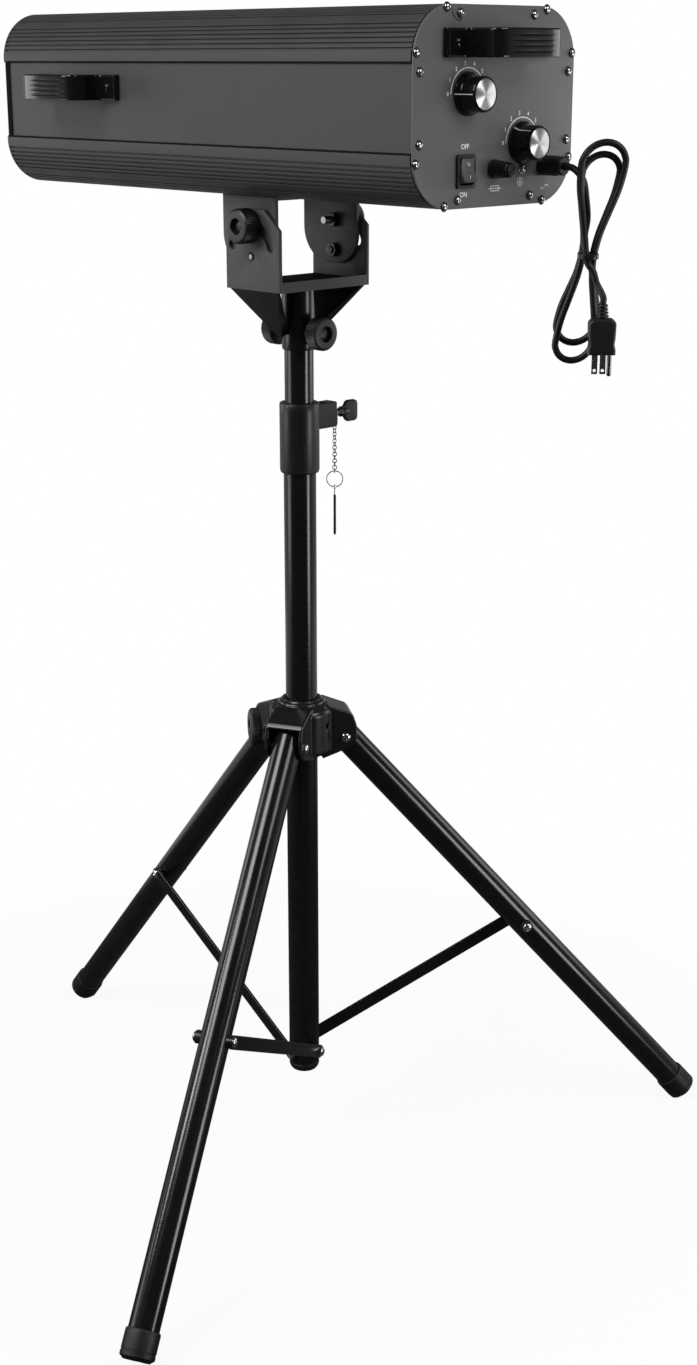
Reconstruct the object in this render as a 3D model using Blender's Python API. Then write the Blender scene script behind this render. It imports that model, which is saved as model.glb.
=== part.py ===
"""Follow spot: a lamp head in a tilting yoke on a folding tripod stand.

Metres, +Z up. The beam points along +Y, and +X is to the right of the beam.
Everything is placed about the mast's axis, and the last step puts the bottom centre of the whole
at the origin.
"""

import math

import bmesh
import bpy
import numpy as np
from mathutils import Matrix, Vector

for old in list(bpy.data.objects):
    bpy.data.objects.remove(old, do_unlink=True)

# Clearance between pieces that touch, how far a weld sinks in, how far a cutter runs past what it cuts,
# and how finely round pieces are divided
FIT = 0.0003
WELD = 0.0002
PAST = 0.02
SHORT_PAST = 0.005
ROUND = 20
KNOB_ROUND = 20
LENS_ROUND = 30
SMALL_ROUND = 10

# Stand tubes
lower_tube_radius = 0.0175
lower_tube_wall = 0.0017
lower_tube_foot = 0.095
upper_tube_wall = 0.0015
upper_tube_length = 0.600
end_plug_depth = 0.011
upper_tube_inset = 0.002

# Clamp collar, its wing screw, and the pin on its chain
collar_foot = 0.7997
collar_length = 0.0753
collar_wall = 0.0035
collar_lip = 0.006
clamp_ear_reach = 0.048
clamp_ear_width = 0.015
clamp_ear_height = 0.0317
clamp_ear_step = 0.004
clamp_ear_edge = 0.0015
ear_hollow = (0.0062, 0.0044)
ear_hollow_depth = 0.008
clamp_screw_radius = 0.003
clamp_screw_start = 0.003
wing_gap = 0.0035
wing_length = 0.0248
wing_height = 0.023
wing_thickness = 0.006
wing_edge = 0.0012
chain_reach = 0.0515
chain_wire = 0.0005
chain_loop_length = 0.0181
chain_link_length = 0.0072
chain_link_width = 0.0044
chain_links = 8
ring_radius = 0.0088
ring_wire = 0.0007
pin_radius = 0.0015
pin_length = 0.051
pin_eye_radius = 0.0022
pin_eye_wire = 0.0009
ring_heading = math.radians(136.1)

# Sliding hub
hub_pivot_height = 0.502
hub_pivot_reach = 0.046
hub_core_radius = 0.022
hub_top = 0.051
hub_foot = -0.024
hub_flange_width = 0.004
hub_flange_drop = 0.009
hub_lip = 0.004
hub_arm_drop = 0.013
hub_arm_root = 0.005
hub_arm_nose = 0.013
hub_arm_slope = 0.40
hub_nose_top = 0.038
hub_nose_low = 0.053
hub_arm_low = 0.064
hub_arm_roof = 0.0045
hub_arm_width = 0.043
hub_cheek = 0.004
hub_bolt_radius = 0.004
hub_boss_radius = 0.009
hub_boss_reach = 0.0385
hub_skirt_radius = 0.036
hub_skirt_wall = 0.004
hub_skirt_top = 0.022
hub_knob_heading = math.radians(147.0)
hub_knob_rise = 0.012
hub_knob_radius = 0.021
hub_knob_thickness = 0.012
hub_knob_reach = 0.047
hub_knob_recess = 0.0015
knob_screw_radius = 0.003
knob_recess = 0.005

# Legs, feet and braces
leg_headings = [math.radians(angle) for angle in (87.17, 206.88, -33.63)]
leg_lean = math.radians(40.87)
leg_radius = 0.016
leg_wall = 0.0012
leg_head = 0.014
foot_radius = 0.018
foot_length = 0.030
foot_sole = 0.006
foot_flat = 0.001
brace_pivot_height = 0.108
brace_along_leg = 0.330
brace_width = 0.015
brace_thickness = 0.003
brace_bolt_radius = 0.003
bolt_head_radius = 0.0055
bolt_head_height = 0.0037
spacer_radius = 0.0072
outer_spacer = 0.0055
brace_play = 0.0002
weld_depth = 0.001

# Yoke
socket_above_collar = 0.0560
socket_length = 0.065
socket_radius = 0.018
gusset_thickness = 0.003
gusset_drop = 0.051
gusset_half_top = 0.036
gusset_half_toe = 0.0025
gusset_toe = 0.0082
socket_knob_rise = 0.019
socket_knob_radius = 0.0175
socket_knob_length = 0.016
socket_boss_radius = 0.008
socket_boss_reach = 0.026
yoke_half_span = 0.063
yoke_plate = 0.004
yoke_half_depth = 0.041
yoke_base = 0.006
yoke_lip_height = 0.0105
yoke_lip_thickness = 0.003
yoke_top_above_pivot = 0.047
yoke_chamfer_along = 0.0225
yoke_chamfer_down = 0.0195
pivot_height = 0.034
pivot_forward = 0.002
slot_radius = 0.031
slot_half_angle = math.radians(70)
slot_play = 0.0012
tilt_bolt_radius = 0.004
tilt_knob_radius = 0.0175
tilt_knob_length = 0.020

# Head bracket
ear_gap = 0.0005
ear_plate = 0.004
ear_rear = -0.031
ear_front = 0.050
ear_below_pivot = 0.0135
ear_rear_corner = 0.030
ear_front_corner = 0.036
bracket_web = 0.0037
pivot_nut_radius = 0.0075
pivot_nut_height = 0.006
stud_end = 0.002
tilt_bolt_end = 0.017
lamp_above_pivot = 0.0605

# Lamp housing
lamp_width = 0.218
lamp_height = 0.1776
lamp_corner = 0.0473
lamp_rear = -0.2704
lamp_front = 0.3561
rail_thickness = 0.003
rail_ribs = 7
rib_bands = ((80, 54), (36, 10))
rib_depth = 0.0007
side_seam = 0.040
top_seam = 0.058
panel_recess = 0.002
panel_thickness = 0.002
rear_plate_thickness = 0.002
front_plate_thickness = 0.006
lens_radius = 0.0552
lens_opening = 0.052
bezel_radius = 0.068
bezel_depth = 0.010
bezel_edge = 0.003
lens_edge = 0.005
lens_swell = 0.010
vent_count = 7
vent_step = 0.018
vent_rear = -0.165
vent_length = 0.064
vent_radius = 0.003

# Rear controls, as (across, up) from the lamp's axis
colour_knob_at = (-0.038, 0.012)
aperture_knob_at = (0.0375, -0.0323)
dial_skirt_radius = 0.0195
dial_cap_radius = 0.016
dial_length = 0.022
dial_shaft_radius = 0.003
dial_shaft_length = 0.012
rocker_at = (-0.0403, -0.0558)
rocker_bezel = (0.0243, 0.030)
rocker_pocket = (0.0175, 0.0235)
rocker_pocket_depth = 0.016
rocker_bezel_front = -0.0025
rocker_body_wall = 0.0011
rocker_body_depth = 0.020
rocker_end = 0.0105
rocker_rise = 0.007
rocker_dip = 0.003
rocker_lean = math.radians(12)
fuse_at = (-0.001, -0.055)
fuse_base_radius = 0.00875
fuse_thread_radius = 0.007
fuse_length = 0.022
fuse_bore = 0.0055
fuse_rim = 0.0033
fuse_depth = 0.016
gland_at = (0.068, -0.054)
gland_radius = 0.0093
gland_length = 0.027
gland_depth = 0.012
gland_groove = 0.0012

# Handles
handle_length = 0.142
handle_width = 0.0255
handle_height = 0.045
handle_bar = 0.0065
handle_foot = 0.0265
handle_foot_height = 0.006
handle_leg_lean = 0.002
handle_bow = 0.003
handle_edge = 0.0018
rear_handle_up = 0.056
side_handle_forward = 0.225
side_handle_up = 0.014

# Inside the housing, with places along the beam measured from the mast's axis
tray_half_width = 0.054
tray_rear_gap = 0.020
tray_front = 0.060
sheet = 0.002
upright_half_width = 0.050
upright_thickness = 0.003
lamp_upright = -0.060
lamp_upright_top = 0.058
gate_upright = 0.020
gate_upright_top = 0.032
gate_arm_reach = 0.068
gate_arm_low = -0.036
gate_radius = 0.014
lamp_base_radius = 0.012
lamp_base_rear = -0.150
lamp_post_half_width = 0.008
bulb_radius = 0.007
bulb_neck_radius = 0.0045
bulb_length = 0.042
reflector_radius = 0.046
reflector_depth = 0.057
reflector_focus = 0.0585
reflector_wall = 0.0015
reflector_flange = 0.006
ballast_half_width = 0.045
ballast_rear = -0.240
ballast_front = -0.160
ballast_top = -0.030
fan_half = 0.035
fan_rear = -0.215
fan_front = -0.195
fan_bore = 0.0325
fan_strut = 0.003
fan_strut_half_width = 0.002
fan_pin_radius = 0.002
fan_pin_length = 0.011
fan_rotor_radius = 0.012
fan_blades = 7
fan_blade_half = 0.0008
fan_blade_twist = 0.28
wheel_at = 0.044
wheel_rim = 0.013
wheel_gap = 0.0085
wheel_hub_radius = 0.008
wheel_filters = 6
filter_radius = 0.0115
motor_width = 0.035
motor_length = 0.026
motor_shaft_radius = 0.0025
motor_shaft_depth = 0.016
iris_ring_radius = 0.0235
iris_ring_thickness = 0.003
iris_lever_reach = 0.034

# Cord, hank and plug
cord_radius = 0.00325
hank_heading = math.radians(-43.92)
hank_across = 0.022
hank_drop = 0.080
hank_out = 0.0245
hank_lean = 0.13
hank_pitch = 0.0074
hank_waist = 0.0052
hank_turns = 2
upper_lobe_heights = (0.092, 0.103)
upper_lobe_radii = (0.0175, 0.0205)
lower_lobe_heights = (0.082, 0.098)
lower_lobe_radii = (0.0185, 0.0175)
plug_across = 0.0135
plug_drop = 0.043
plug_out = 0.019
relief_length = 0.013
relief_rings = 3
relief_radius = 0.005
relief_pitch = 0.0042
plug_half_width = 0.013
plug_half_depth = 0.0085
plug_length = 0.034
plug_edge = 0.0025
blade_places = (-0.0062, 0.0015)
blade_half_width = 0.0029
blade_thickness = 0.0015
blade_length = 0.019
blade_row = -0.0035
ground_at = (0.0085, 0.0035)
ground_radius = 0.0023
ground_length = 0.022


def finish(name, colour, roughness, metallic=0.0, clear=0.0):
    made = bpy.data.materials.new(name)
    made.use_nodes = True
    shader = made.node_tree.nodes["Principled BSDF"]
    shader.inputs["Base Color"].default_value = (*colour, 1.0)
    shader.inputs["Roughness"].default_value = roughness
    shader.inputs["Metallic"].default_value = metallic
    shader.inputs["Transmission Weight"].default_value = clear
    return made


housing_paint = finish("housing_paint", (0.075, 0.075, 0.078), 0.5)
plate_paint = finish("plate_paint", (0.10, 0.10, 0.103), 0.5)
bracket_paint = finish("bracket_paint", (0.055, 0.055, 0.057), 0.55)
tube_paint = finish("tube_paint", (0.012, 0.012, 0.013), 0.22)
black_plastic = finish("black_plastic", (0.014, 0.014, 0.015), 0.35)
grey_plastic = finish("grey_plastic", (0.06, 0.06, 0.062), 0.4)
rubber = finish("rubber", (0.03, 0.03, 0.03), 0.8)
cord_rubber = finish("cord_rubber", (0.015, 0.015, 0.016), 0.5)
steel = finish("steel", (0.6, 0.6, 0.6), 0.25, 1.0)
aluminium = finish("aluminium", (0.75, 0.75, 0.76), 0.3, 1.0)
glass = finish("glass", (0.95, 0.97, 1.0), 0.02, 0.0, 1.0)

TURNS = {
    "X": Matrix.Rotation(math.pi / 2, 4, "Y"),
    "Y": Matrix.Rotation(-math.pi / 2, 4, "X"),
    "-Y": Matrix.Rotation(math.pi / 2, 4, "X"),
    "Z": Matrix.Identity(4),
}
SMOOTH_ANGLE = math.radians(40)


def empty(name, parent=None, location=(0, 0, 0), turn=0.0):
    axis = bpy.data.objects.new(name, None)
    bpy.context.scene.collection.objects.link(axis)
    axis.parent = parent
    axis.location = location
    axis.rotation_euler.z = turn
    return axis


def place(name, shape, parent, look, location=(0, 0, 0), rotation=(0, 0, 0)):
    """Makes an object of a bmesh."""
    data = bpy.data.meshes.new(name)
    shape.to_mesh(data)
    shape.free()
    data.shade_smooth()
    data.set_sharp_from_angle(angle=SMOOTH_ANGLE)
    piece = bpy.data.objects.new(name, data)
    bpy.context.scene.collection.objects.link(piece)
    piece.parent = parent
    piece.location = location
    piece.rotation_euler = rotation
    if look:
        data.materials.append(look)
    return piece


def tool(name, shape, parent, location=(0, 0, 0), rotation=(0, 0, 0)):
    """An object that only cuts or joins."""
    helper = place(name, shape, parent, None, location, rotation)
    helper.hide_render = True
    helper.display_type = "WIRE"
    return helper


def combine(piece, operation, helper):
    modifier = piece.modifiers.new(helper.name, "BOOLEAN")
    modifier.operation = operation
    modifier.solver = "EXACT"
    modifier.object = helper


def join(piece, helper):
    combine(piece, "UNION", helper)


def cut(piece, helper):
    combine(piece, "DIFFERENCE", helper)


def soften(piece, width, segments=2):
    modifier = piece.modifiers.new("soft_edges", "BEVEL")
    modifier.width = width
    modifier.segments = segments
    modifier.limit_method = "ANGLE"
    modifier.angle_limit = math.radians(50)


def turned(profile, along="Z", steps=ROUND, ring=False):
    """Turns (radius, height) points about an axis. A ring's profile closes on itself."""
    shape = bmesh.new()
    circles = []
    for radius, height in profile:
        if radius < 1e-9:
            circles.append([shape.verts.new((0, 0, height))])
            continue
        angles = [2 * math.pi * k / steps for k in range(steps)]
        points = [(radius * math.cos(a), radius * math.sin(a), height) for a in angles]
        circles.append([shape.verts.new(point) for point in points])
    pairs = list(zip(circles, circles[1:]))
    if ring:
        pairs.append((circles[-1], circles[0]))
    for low, high in pairs:
        for k in range(steps):
            n = k + 1
            corners = [low[k % len(low)], low[n % len(low)], high[n % len(high)], high[k % len(high)]]
            corners = list(dict.fromkeys(corners))
            if len(corners) > 2:
                shape.faces.new(corners)
    bmesh.ops.recalc_face_normals(shape, faces=shape.faces)
    shape.transform(TURNS[along])
    return shape


def rod(radius, low, high, along="Z", steps=SMALL_ROUND):
    return turned([(0, low), (radius, low), (radius, high), (0, high)], along, steps)


def tube(outer, inner, low, high, along="Z", steps=ROUND):
    return turned([(inner, low), (outer, low), (outer, high), (inner, high)], along, steps, ring=True)


def prism(outline, low, high, along="Z"):
    """Extrudes an outline: (x, y) along Z, (y, z) along X, or (x, z) along Y."""
    orders = {"X": (2, 0, 1), "Y": (0, 2, 1), "Z": (0, 1, 2)}
    shape = bmesh.new()
    ends = []
    for level in (low, high):
        points = [(u, v, level) for u, v in outline]
        ends.append([shape.verts.new([p[k] for k in orders[along]]) for p in points])
    bottom, top = ends
    shape.faces.new(bottom)
    shape.faces.new(top)
    for k in range(len(outline)):
        shape.faces.new((bottom[k - 1], bottom[k], top[k], top[k - 1]))
    bmesh.ops.recalc_face_normals(shape, faces=shape.faces)
    return shape


def block(low, high):
    corners = [(low[0], low[1]), (high[0], low[1]), (high[0], high[1]), (low[0], high[1])]
    return prism(corners, low[2], high[2])


def hull(points):
    shape = bmesh.new()
    for point in points:
        shape.verts.new(point)
    bmesh.ops.convex_hull(shape, input=shape.verts)
    bmesh.ops.recalc_face_normals(shape, faces=shape.faces)
    return shape


def together(*shapes):
    """One bmesh of several that don't touch."""
    whole = bmesh.new()
    for shape in shapes:
        data = bpy.data.meshes.new("part")
        shape.to_mesh(data)
        shape.free()
        whole.from_mesh(data)
        bpy.data.meshes.remove(data)
    return whole


def moved(shape, offset, turn=0.0, about="Z"):
    shape.transform(Matrix.Translation(offset) @ Matrix.Rotation(turn, 4, about))
    return shape


def arc(centre, radius, start, end, steps):
    angles = [start + (end - start) * k / steps for k in range(steps + 1)]
    return [(centre[0] + radius * math.cos(a), centre[1] + radius * math.sin(a)) for a in angles]


def rounded_rectangle(width, height, radius, steps=8):
    outline = []
    for k, (across, up) in enumerate(((1, 1), (-1, 1), (-1, -1), (1, -1))):
        centre = (across * (width / 2 - radius), up * (height / 2 - radius))
        outline += arc(centre, radius, k * math.pi / 2, (k + 1) * math.pi / 2, steps)
    return outline


def stadium(length, radius, steps=8):
    """A bar's outline from a round end at the origin to one at +length."""
    return arc((0, 0), radius, math.pi / 2, 3 * math.pi / 2, steps) + arc(
        (length, 0), radius, -math.pi / 2, math.pi / 2, steps
    )


def wire_loop(length, width, wire, heading, height, sides=5, bend=5):
    """A closed upright loop of round wire at a height; length and width are to the wire's middle."""
    half = width / 2
    straight = length / 2 - half
    route = arc((0, straight), half, 0, math.pi, bend)
    route += arc((0, -straight), half, math.pi, 2 * math.pi, bend)
    if straight < 1e-9:
        route = arc((0, 0), half, 0, 2 * math.pi, 2 * bend)[:-1]
    shape = bmesh.new()
    circles = []
    across = Vector((math.cos(heading), math.sin(heading), 0))
    aside = Vector((-math.sin(heading), math.cos(heading), 0))
    for u, v in route:
        centre = across * u + Vector((0, 0, height + v))
        core = Vector((0, 0, height + max(-straight, min(straight, v))))
        outward = (centre - core).normalized()
        circle = []
        for k in range(sides):
            angle = 2 * math.pi * k / sides
            across_wire = outward * math.cos(angle) + aside * math.sin(angle)
            circle.append(shape.verts.new(centre + wire * across_wire))
        circles.append(circle)
    for k in range(len(circles)):
        for j in range(sides):
            n = (j + 1) % sides
            shape.faces.new((circles[k - 1][j], circles[k - 1][n], circles[k][n], circles[k][j]))
    bmesh.ops.recalc_face_normals(shape, faces=shape.faces)
    return shape


def knob(radius, length, recess_radius, recess_depth, shank_radius, shank_length, along):
    """A clamp knob: a shank, a round body with a soft edge, and a round recess in its face."""
    edge = 0.08 * radius
    profile = [
        (0, -shank_length),
        (shank_radius, -shank_length),
        (shank_radius, 0),
        (radius - edge, 0),
        (radius, edge),
        (radius, length - 2 * edge),
        (radius - 2 * edge, length),
        (recess_radius, length),
        (recess_radius - 0.4 * edge, length - recess_depth),
        (0, length - recess_depth),
    ]
    return turned(profile, along, KNOB_ROUND)


root = empty("follow_spot")
column = empty("column", root)

# Lower tube with the three brace studs, its end plug and the clamp collar
upper_tube_radius = lower_tube_radius - lower_tube_wall - FIT
collar_top = collar_foot + collar_length
collar_radius = lower_tube_radius + FIT + collar_wall
lower_tube_top = collar_top - collar_lip - FIT
lower_bore = lower_tube_radius - lower_tube_wall
brace_inner_face = lower_tube_radius + FIT + brace_play
brace_outer_face = brace_inner_face + brace_thickness
stud_head_face = brace_outer_face + FIT

lower_tube = place(
    "lower_tube", tube(lower_tube_radius, lower_bore, lower_tube_foot, lower_tube_top), column, tube_paint
)
studs = []
for heading in leg_headings:
    profile = [
        (0, lower_tube_radius - 0.7 * lower_tube_wall),
        (brace_bolt_radius, lower_tube_radius - 0.7 * lower_tube_wall),
        (brace_bolt_radius, stud_head_face),
        (bolt_head_radius, stud_head_face),
        (bolt_head_radius, stud_head_face + 0.6 * bolt_head_height),
        (0.6 * bolt_head_radius, stud_head_face + bolt_head_height),
        (0, stud_head_face + bolt_head_height),
    ]
    studs.append(moved(turned(profile, "Y", SMALL_ROUND), (0, 0, brace_pivot_height), heading))
join(lower_tube, tool("brace_studs", together(*studs), column))

plug_profile = [
    (0, lower_tube_foot - FIT - end_plug_depth),
    (0.6 * lower_tube_radius, lower_tube_foot - FIT - end_plug_depth),
    (0.88 * lower_tube_radius, lower_tube_foot - FIT - 0.75 * end_plug_depth),
    (lower_tube_radius, lower_tube_foot - FIT - 0.35 * end_plug_depth),
    (lower_tube_radius, lower_tube_foot - FIT),
    (lower_bore - FIT, lower_tube_foot - FIT),
    (lower_bore - FIT, lower_tube_foot + end_plug_depth),
    (0, lower_tube_foot + end_plug_depth),
]
place("tube_end_plug", turned(plug_profile), column, black_plastic)

collar_edge = 0.6 * collar_wall
collar_profile = [
    (lower_tube_radius + FIT, collar_foot),
    (collar_radius - collar_edge, collar_foot),
    (collar_radius, collar_foot + 1.5 * collar_edge),
    (collar_radius, collar_top - 0.7 * collar_edge),
    (collar_radius - 0.7 * collar_edge, collar_top),
    (upper_tube_radius + FIT, collar_top),
    (upper_tube_radius + FIT, collar_top - collar_lip),
    (lower_tube_radius + FIT, collar_top - collar_lip),
]
tube_collar = place("tube_collar", turned(collar_profile, ring=True), column, black_plastic)
screw_height = collar_top - (clamp_ear_height + clamp_ear_step) / 2
ear_inside = lower_tube_radius + FIT + 0.5 * collar_wall
ear_low = (ear_inside, -clamp_ear_width / 2, collar_top - clamp_ear_height)
ear_high = (clamp_ear_reach, clamp_ear_width / 2, collar_top - clamp_ear_step)
clamp_ear = tool("clamp_ear", block(ear_low, ear_high), column)
soften(clamp_ear, clamp_ear_edge)
join(tube_collar, clamp_ear)
screw_start = collar_radius + clamp_screw_start
clamp_hole = rod(clamp_screw_radius + FIT, screw_start - FIT, clamp_ear_reach + PAST, "X")
cut(tube_collar, tool("clamp_hole", moved(clamp_hole, (0, 0, screw_height)), column))
hollow_start = 0.55 * clamp_ear_reach
hollow_outline = [(hollow_start + x, y) for x, y in stadium(*ear_hollow)]
hollow = prism(hollow_outline, collar_top - ear_hollow_depth, collar_top + PAST)
cut(tube_collar, tool("ear_hollow", hollow, column))

# Wing screw
wing_start = chain_reach + wing_gap
collar_screw_axis = empty("collar_screw_axis", column, (0, 0, screw_height))
collar_screw = place(
    "collar_screw",
    rod(clamp_screw_radius, screw_start, wing_start + 0.5 * wing_length, "X"),
    collar_screw_axis,
    black_plastic,
)
half_wing = wing_height / 2
wing_outline = [
    (wing_start - WELD, -0.45 * half_wing),
    (wing_start + 0.25 * wing_length, -0.5 * half_wing),
    (wing_start + 0.4 * wing_length, -half_wing),
    (wing_start + 0.85 * wing_length, -half_wing),
    (wing_start + wing_length, -0.7 * half_wing),
    (wing_start + wing_length, 0.7 * half_wing),
    (wing_start + 0.85 * wing_length, half_wing),
    (wing_start + 0.4 * wing_length, half_wing),
    (wing_start + 0.25 * wing_length, 0.5 * half_wing),
    (wing_start - WELD, 0.45 * half_wing),
]
wing = tool("wing", prism(wing_outline, -wing_thickness / 2, wing_thickness / 2, "Y"), collar_screw_axis)
soften(wing, wing_edge)
join(collar_screw, wing)

# Chain round the screw's neck, its links joined, with the split ring and the locking pin
loop_top = clamp_screw_radius + FIT + chain_wire
chain_axis = empty("chain_axis", column, (chain_reach, 0, screw_height + loop_top))
loop_middle = -chain_loop_length / 2
loop_width = 2 * (clamp_screw_radius + FIT + 2 * chain_wire)
safety_chain = place(
    "safety_chain",
    wire_loop(chain_loop_length, loop_width, chain_wire, math.pi / 2, loop_middle),
    chain_axis,
    steel,
)
link_overlap = 1.6 * chain_wire
lowest_wire = loop_middle - chain_loop_length / 2
last_turn = math.pi / 2 if chain_links % 2 else math.pi
twist = (ring_heading - last_turn) / (chain_links + 1)
for k in range(1, chain_links + 1):
    link_middle = lowest_wire + link_overlap - chain_link_length / 2
    link_heading = math.pi / 2 + k * (math.pi / 2 + twist)
    link = wire_loop(chain_link_length, chain_link_width, chain_wire, link_heading, link_middle, 5, 3)
    join(safety_chain, tool(f"chain_link_{k}", link, chain_axis))
    lowest_wire = link_middle - chain_link_length / 2

ring_top = lowest_wire + chain_wire + FIT + ring_wire
ring_axis = empty("ring_axis", chain_axis, (0, 0, ring_top))
place(
    "split_ring",
    wire_loop(2 * ring_radius, 2 * ring_radius, ring_wire, ring_heading, -ring_radius, 5, 9),
    ring_axis,
    steel,
)
eye_top = -2 * ring_radius + ring_wire + FIT + pin_eye_wire
eye_size = 2 * pin_eye_radius
eye_heading = ring_heading + math.pi / 2
locking_pin = place(
    "locking_pin",
    wire_loop(eye_size, eye_size, pin_eye_wire, eye_heading, eye_top - pin_eye_radius, 6, 5),
    ring_axis,
    steel,
)
pin_top = eye_top - eye_size
pin_profile = [
    (0, pin_top - pin_length),
    (0.55 * pin_radius, pin_top - pin_length),
    (pin_radius, pin_top - pin_length + 1.5 * pin_radius),
    (pin_radius, pin_top + 0.5 * pin_eye_wire),
    (0, pin_top + 0.5 * pin_eye_wire),
]
join(locking_pin, tool("pin_shank", turned(pin_profile, steps=SMALL_ROUND), ring_axis))

# Hub: a core on the lower tube with three channel arms, a skirt, their bolts, and a boss for the clamp knob
hub_axis = empty("hub_axis", root, (0, 0, hub_pivot_height))
hub_bore = lower_tube_radius + FIT
flange_low = hub_top - hub_flange_drop
flange_high = hub_top - hub_lip
core_profile = [
    (hub_bore, hub_foot),
    (hub_core_radius, hub_foot),
    (hub_core_radius, flange_low),
    (hub_core_radius + hub_flange_width, flange_low),
    (hub_core_radius + hub_flange_width, flange_high - WELD),
    (hub_core_radius, flange_high),
    (hub_core_radius, hub_top),
    (hub_bore, hub_top),
]
hub = place("hub", turned(core_profile, ring=True), hub_axis, bracket_paint)
arm_inside = 0.5 * (hub_bore + hub_core_radius)
arm_root = hub_core_radius + hub_arm_root
nose = hub_pivot_reach + hub_arm_nose
shoulder = nose - 0.55 * hub_arm_nose
shoulder_drop = hub_arm_drop + hub_arm_slope * (shoulder - arm_root)
arm_outline = [
    (arm_inside, hub_top - hub_arm_drop),
    (arm_root, hub_top - hub_arm_drop),
    (shoulder, hub_top - shoulder_drop),
    (nose - 0.27 * hub_arm_nose, hub_top - shoulder_drop - 0.3 * hub_arm_nose),
    (nose, hub_top - hub_nose_top),
    (nose, hub_top - hub_nose_low),
    (nose - 0.23 * hub_arm_nose, hub_top - hub_nose_low - 0.46 * hub_arm_nose),
    (nose - 0.7 * hub_arm_nose, hub_top - hub_arm_low),
    (arm_inside, hub_foot),
]
slot_root = hub_core_radius + weld_depth
slot_top = hub_top - hub_arm_drop - hub_arm_roof
slot_reach = nose + PAST
slot_outline = [
    (slot_root, hub_foot - PAST),
    (slot_root, slot_top),
    (arm_root, slot_top),
    (slot_reach, slot_top - hub_arm_slope * (slot_reach - arm_root)),
    (slot_reach, hub_foot - PAST),
]
half_arm = hub_arm_width / 2
bolt_profile = [
    (0, -half_arm - bolt_head_height),
    (0.7 * bolt_head_radius, -half_arm - bolt_head_height),
    (bolt_head_radius, -half_arm - 0.5 * bolt_head_height),
    (bolt_head_radius, -half_arm + weld_depth),
    (hub_bolt_radius, -half_arm + weld_depth),
    (hub_bolt_radius, half_arm - weld_depth),
    (bolt_head_radius, half_arm - weld_depth),
    (bolt_head_radius, half_arm + 0.5 * bolt_head_height),
    (0.7 * bolt_head_radius, half_arm + bolt_head_height),
    (0, half_arm + bolt_head_height),
]
arm_turns = [empty(f"arm_turn_{k + 1}", hub_axis, turn=heading) for k, heading in enumerate(leg_headings)]
for k, arm_turn in enumerate(arm_turns):
    join(hub, tool(f"hub_arm_{k + 1}", prism(arm_outline, -half_arm, half_arm, "Y"), arm_turn))
skirt_inside = hub_skirt_radius - hub_skirt_wall
skirt_edge = 0.6 * hub_skirt_wall
skirt_profile = [
    (skirt_inside, hub_foot),
    (hub_skirt_radius, hub_foot),
    (hub_skirt_radius, hub_skirt_top - skirt_edge),
    (hub_skirt_radius - skirt_edge, hub_skirt_top),
    (arm_inside, hub_skirt_top),
    (arm_inside, hub_skirt_top - hub_skirt_wall),
    (skirt_inside, hub_skirt_top - hub_skirt_wall),
]
join(hub, tool("hub_skirt", turned(skirt_profile, ring=True), hub_axis))
boss_turn = empty("boss_turn", hub_axis, (0, 0, hub_knob_rise), hub_knob_heading)
join(hub, tool("hub_boss", rod(hub_boss_radius, arm_inside, hub_boss_reach, "X", KNOB_ROUND), boss_turn))
for k, arm_turn in enumerate(arm_turns):
    half_slot = half_arm - hub_cheek
    cut(hub, tool(f"arm_slot_{k + 1}", prism(slot_outline, -half_slot, half_slot, "Y"), arm_turn))
for k, arm_turn in enumerate(arm_turns):
    bolt = moved(turned(bolt_profile, "Y", SMALL_ROUND), (hub_pivot_reach, 0, 0))
    join(hub, tool(f"hub_bolt_{k + 1}", bolt, arm_turn))
screw_hole = rod(knob_screw_radius + FIT, 0.5 * hub_bore, hub_boss_reach + PAST, "X")
cut(hub, tool("hub_screw_hole", screw_hole, boss_turn))
hub_knob_shape = knob(
    hub_knob_radius,
    hub_knob_thickness,
    0.4 * hub_knob_radius,
    hub_knob_recess,
    knob_screw_radius,
    hub_knob_reach - hub_bore - FIT,
    "X",
)
place("hub_knob", hub_knob_shape, boss_turn, black_plastic, (hub_knob_reach, 0, 0))

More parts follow.
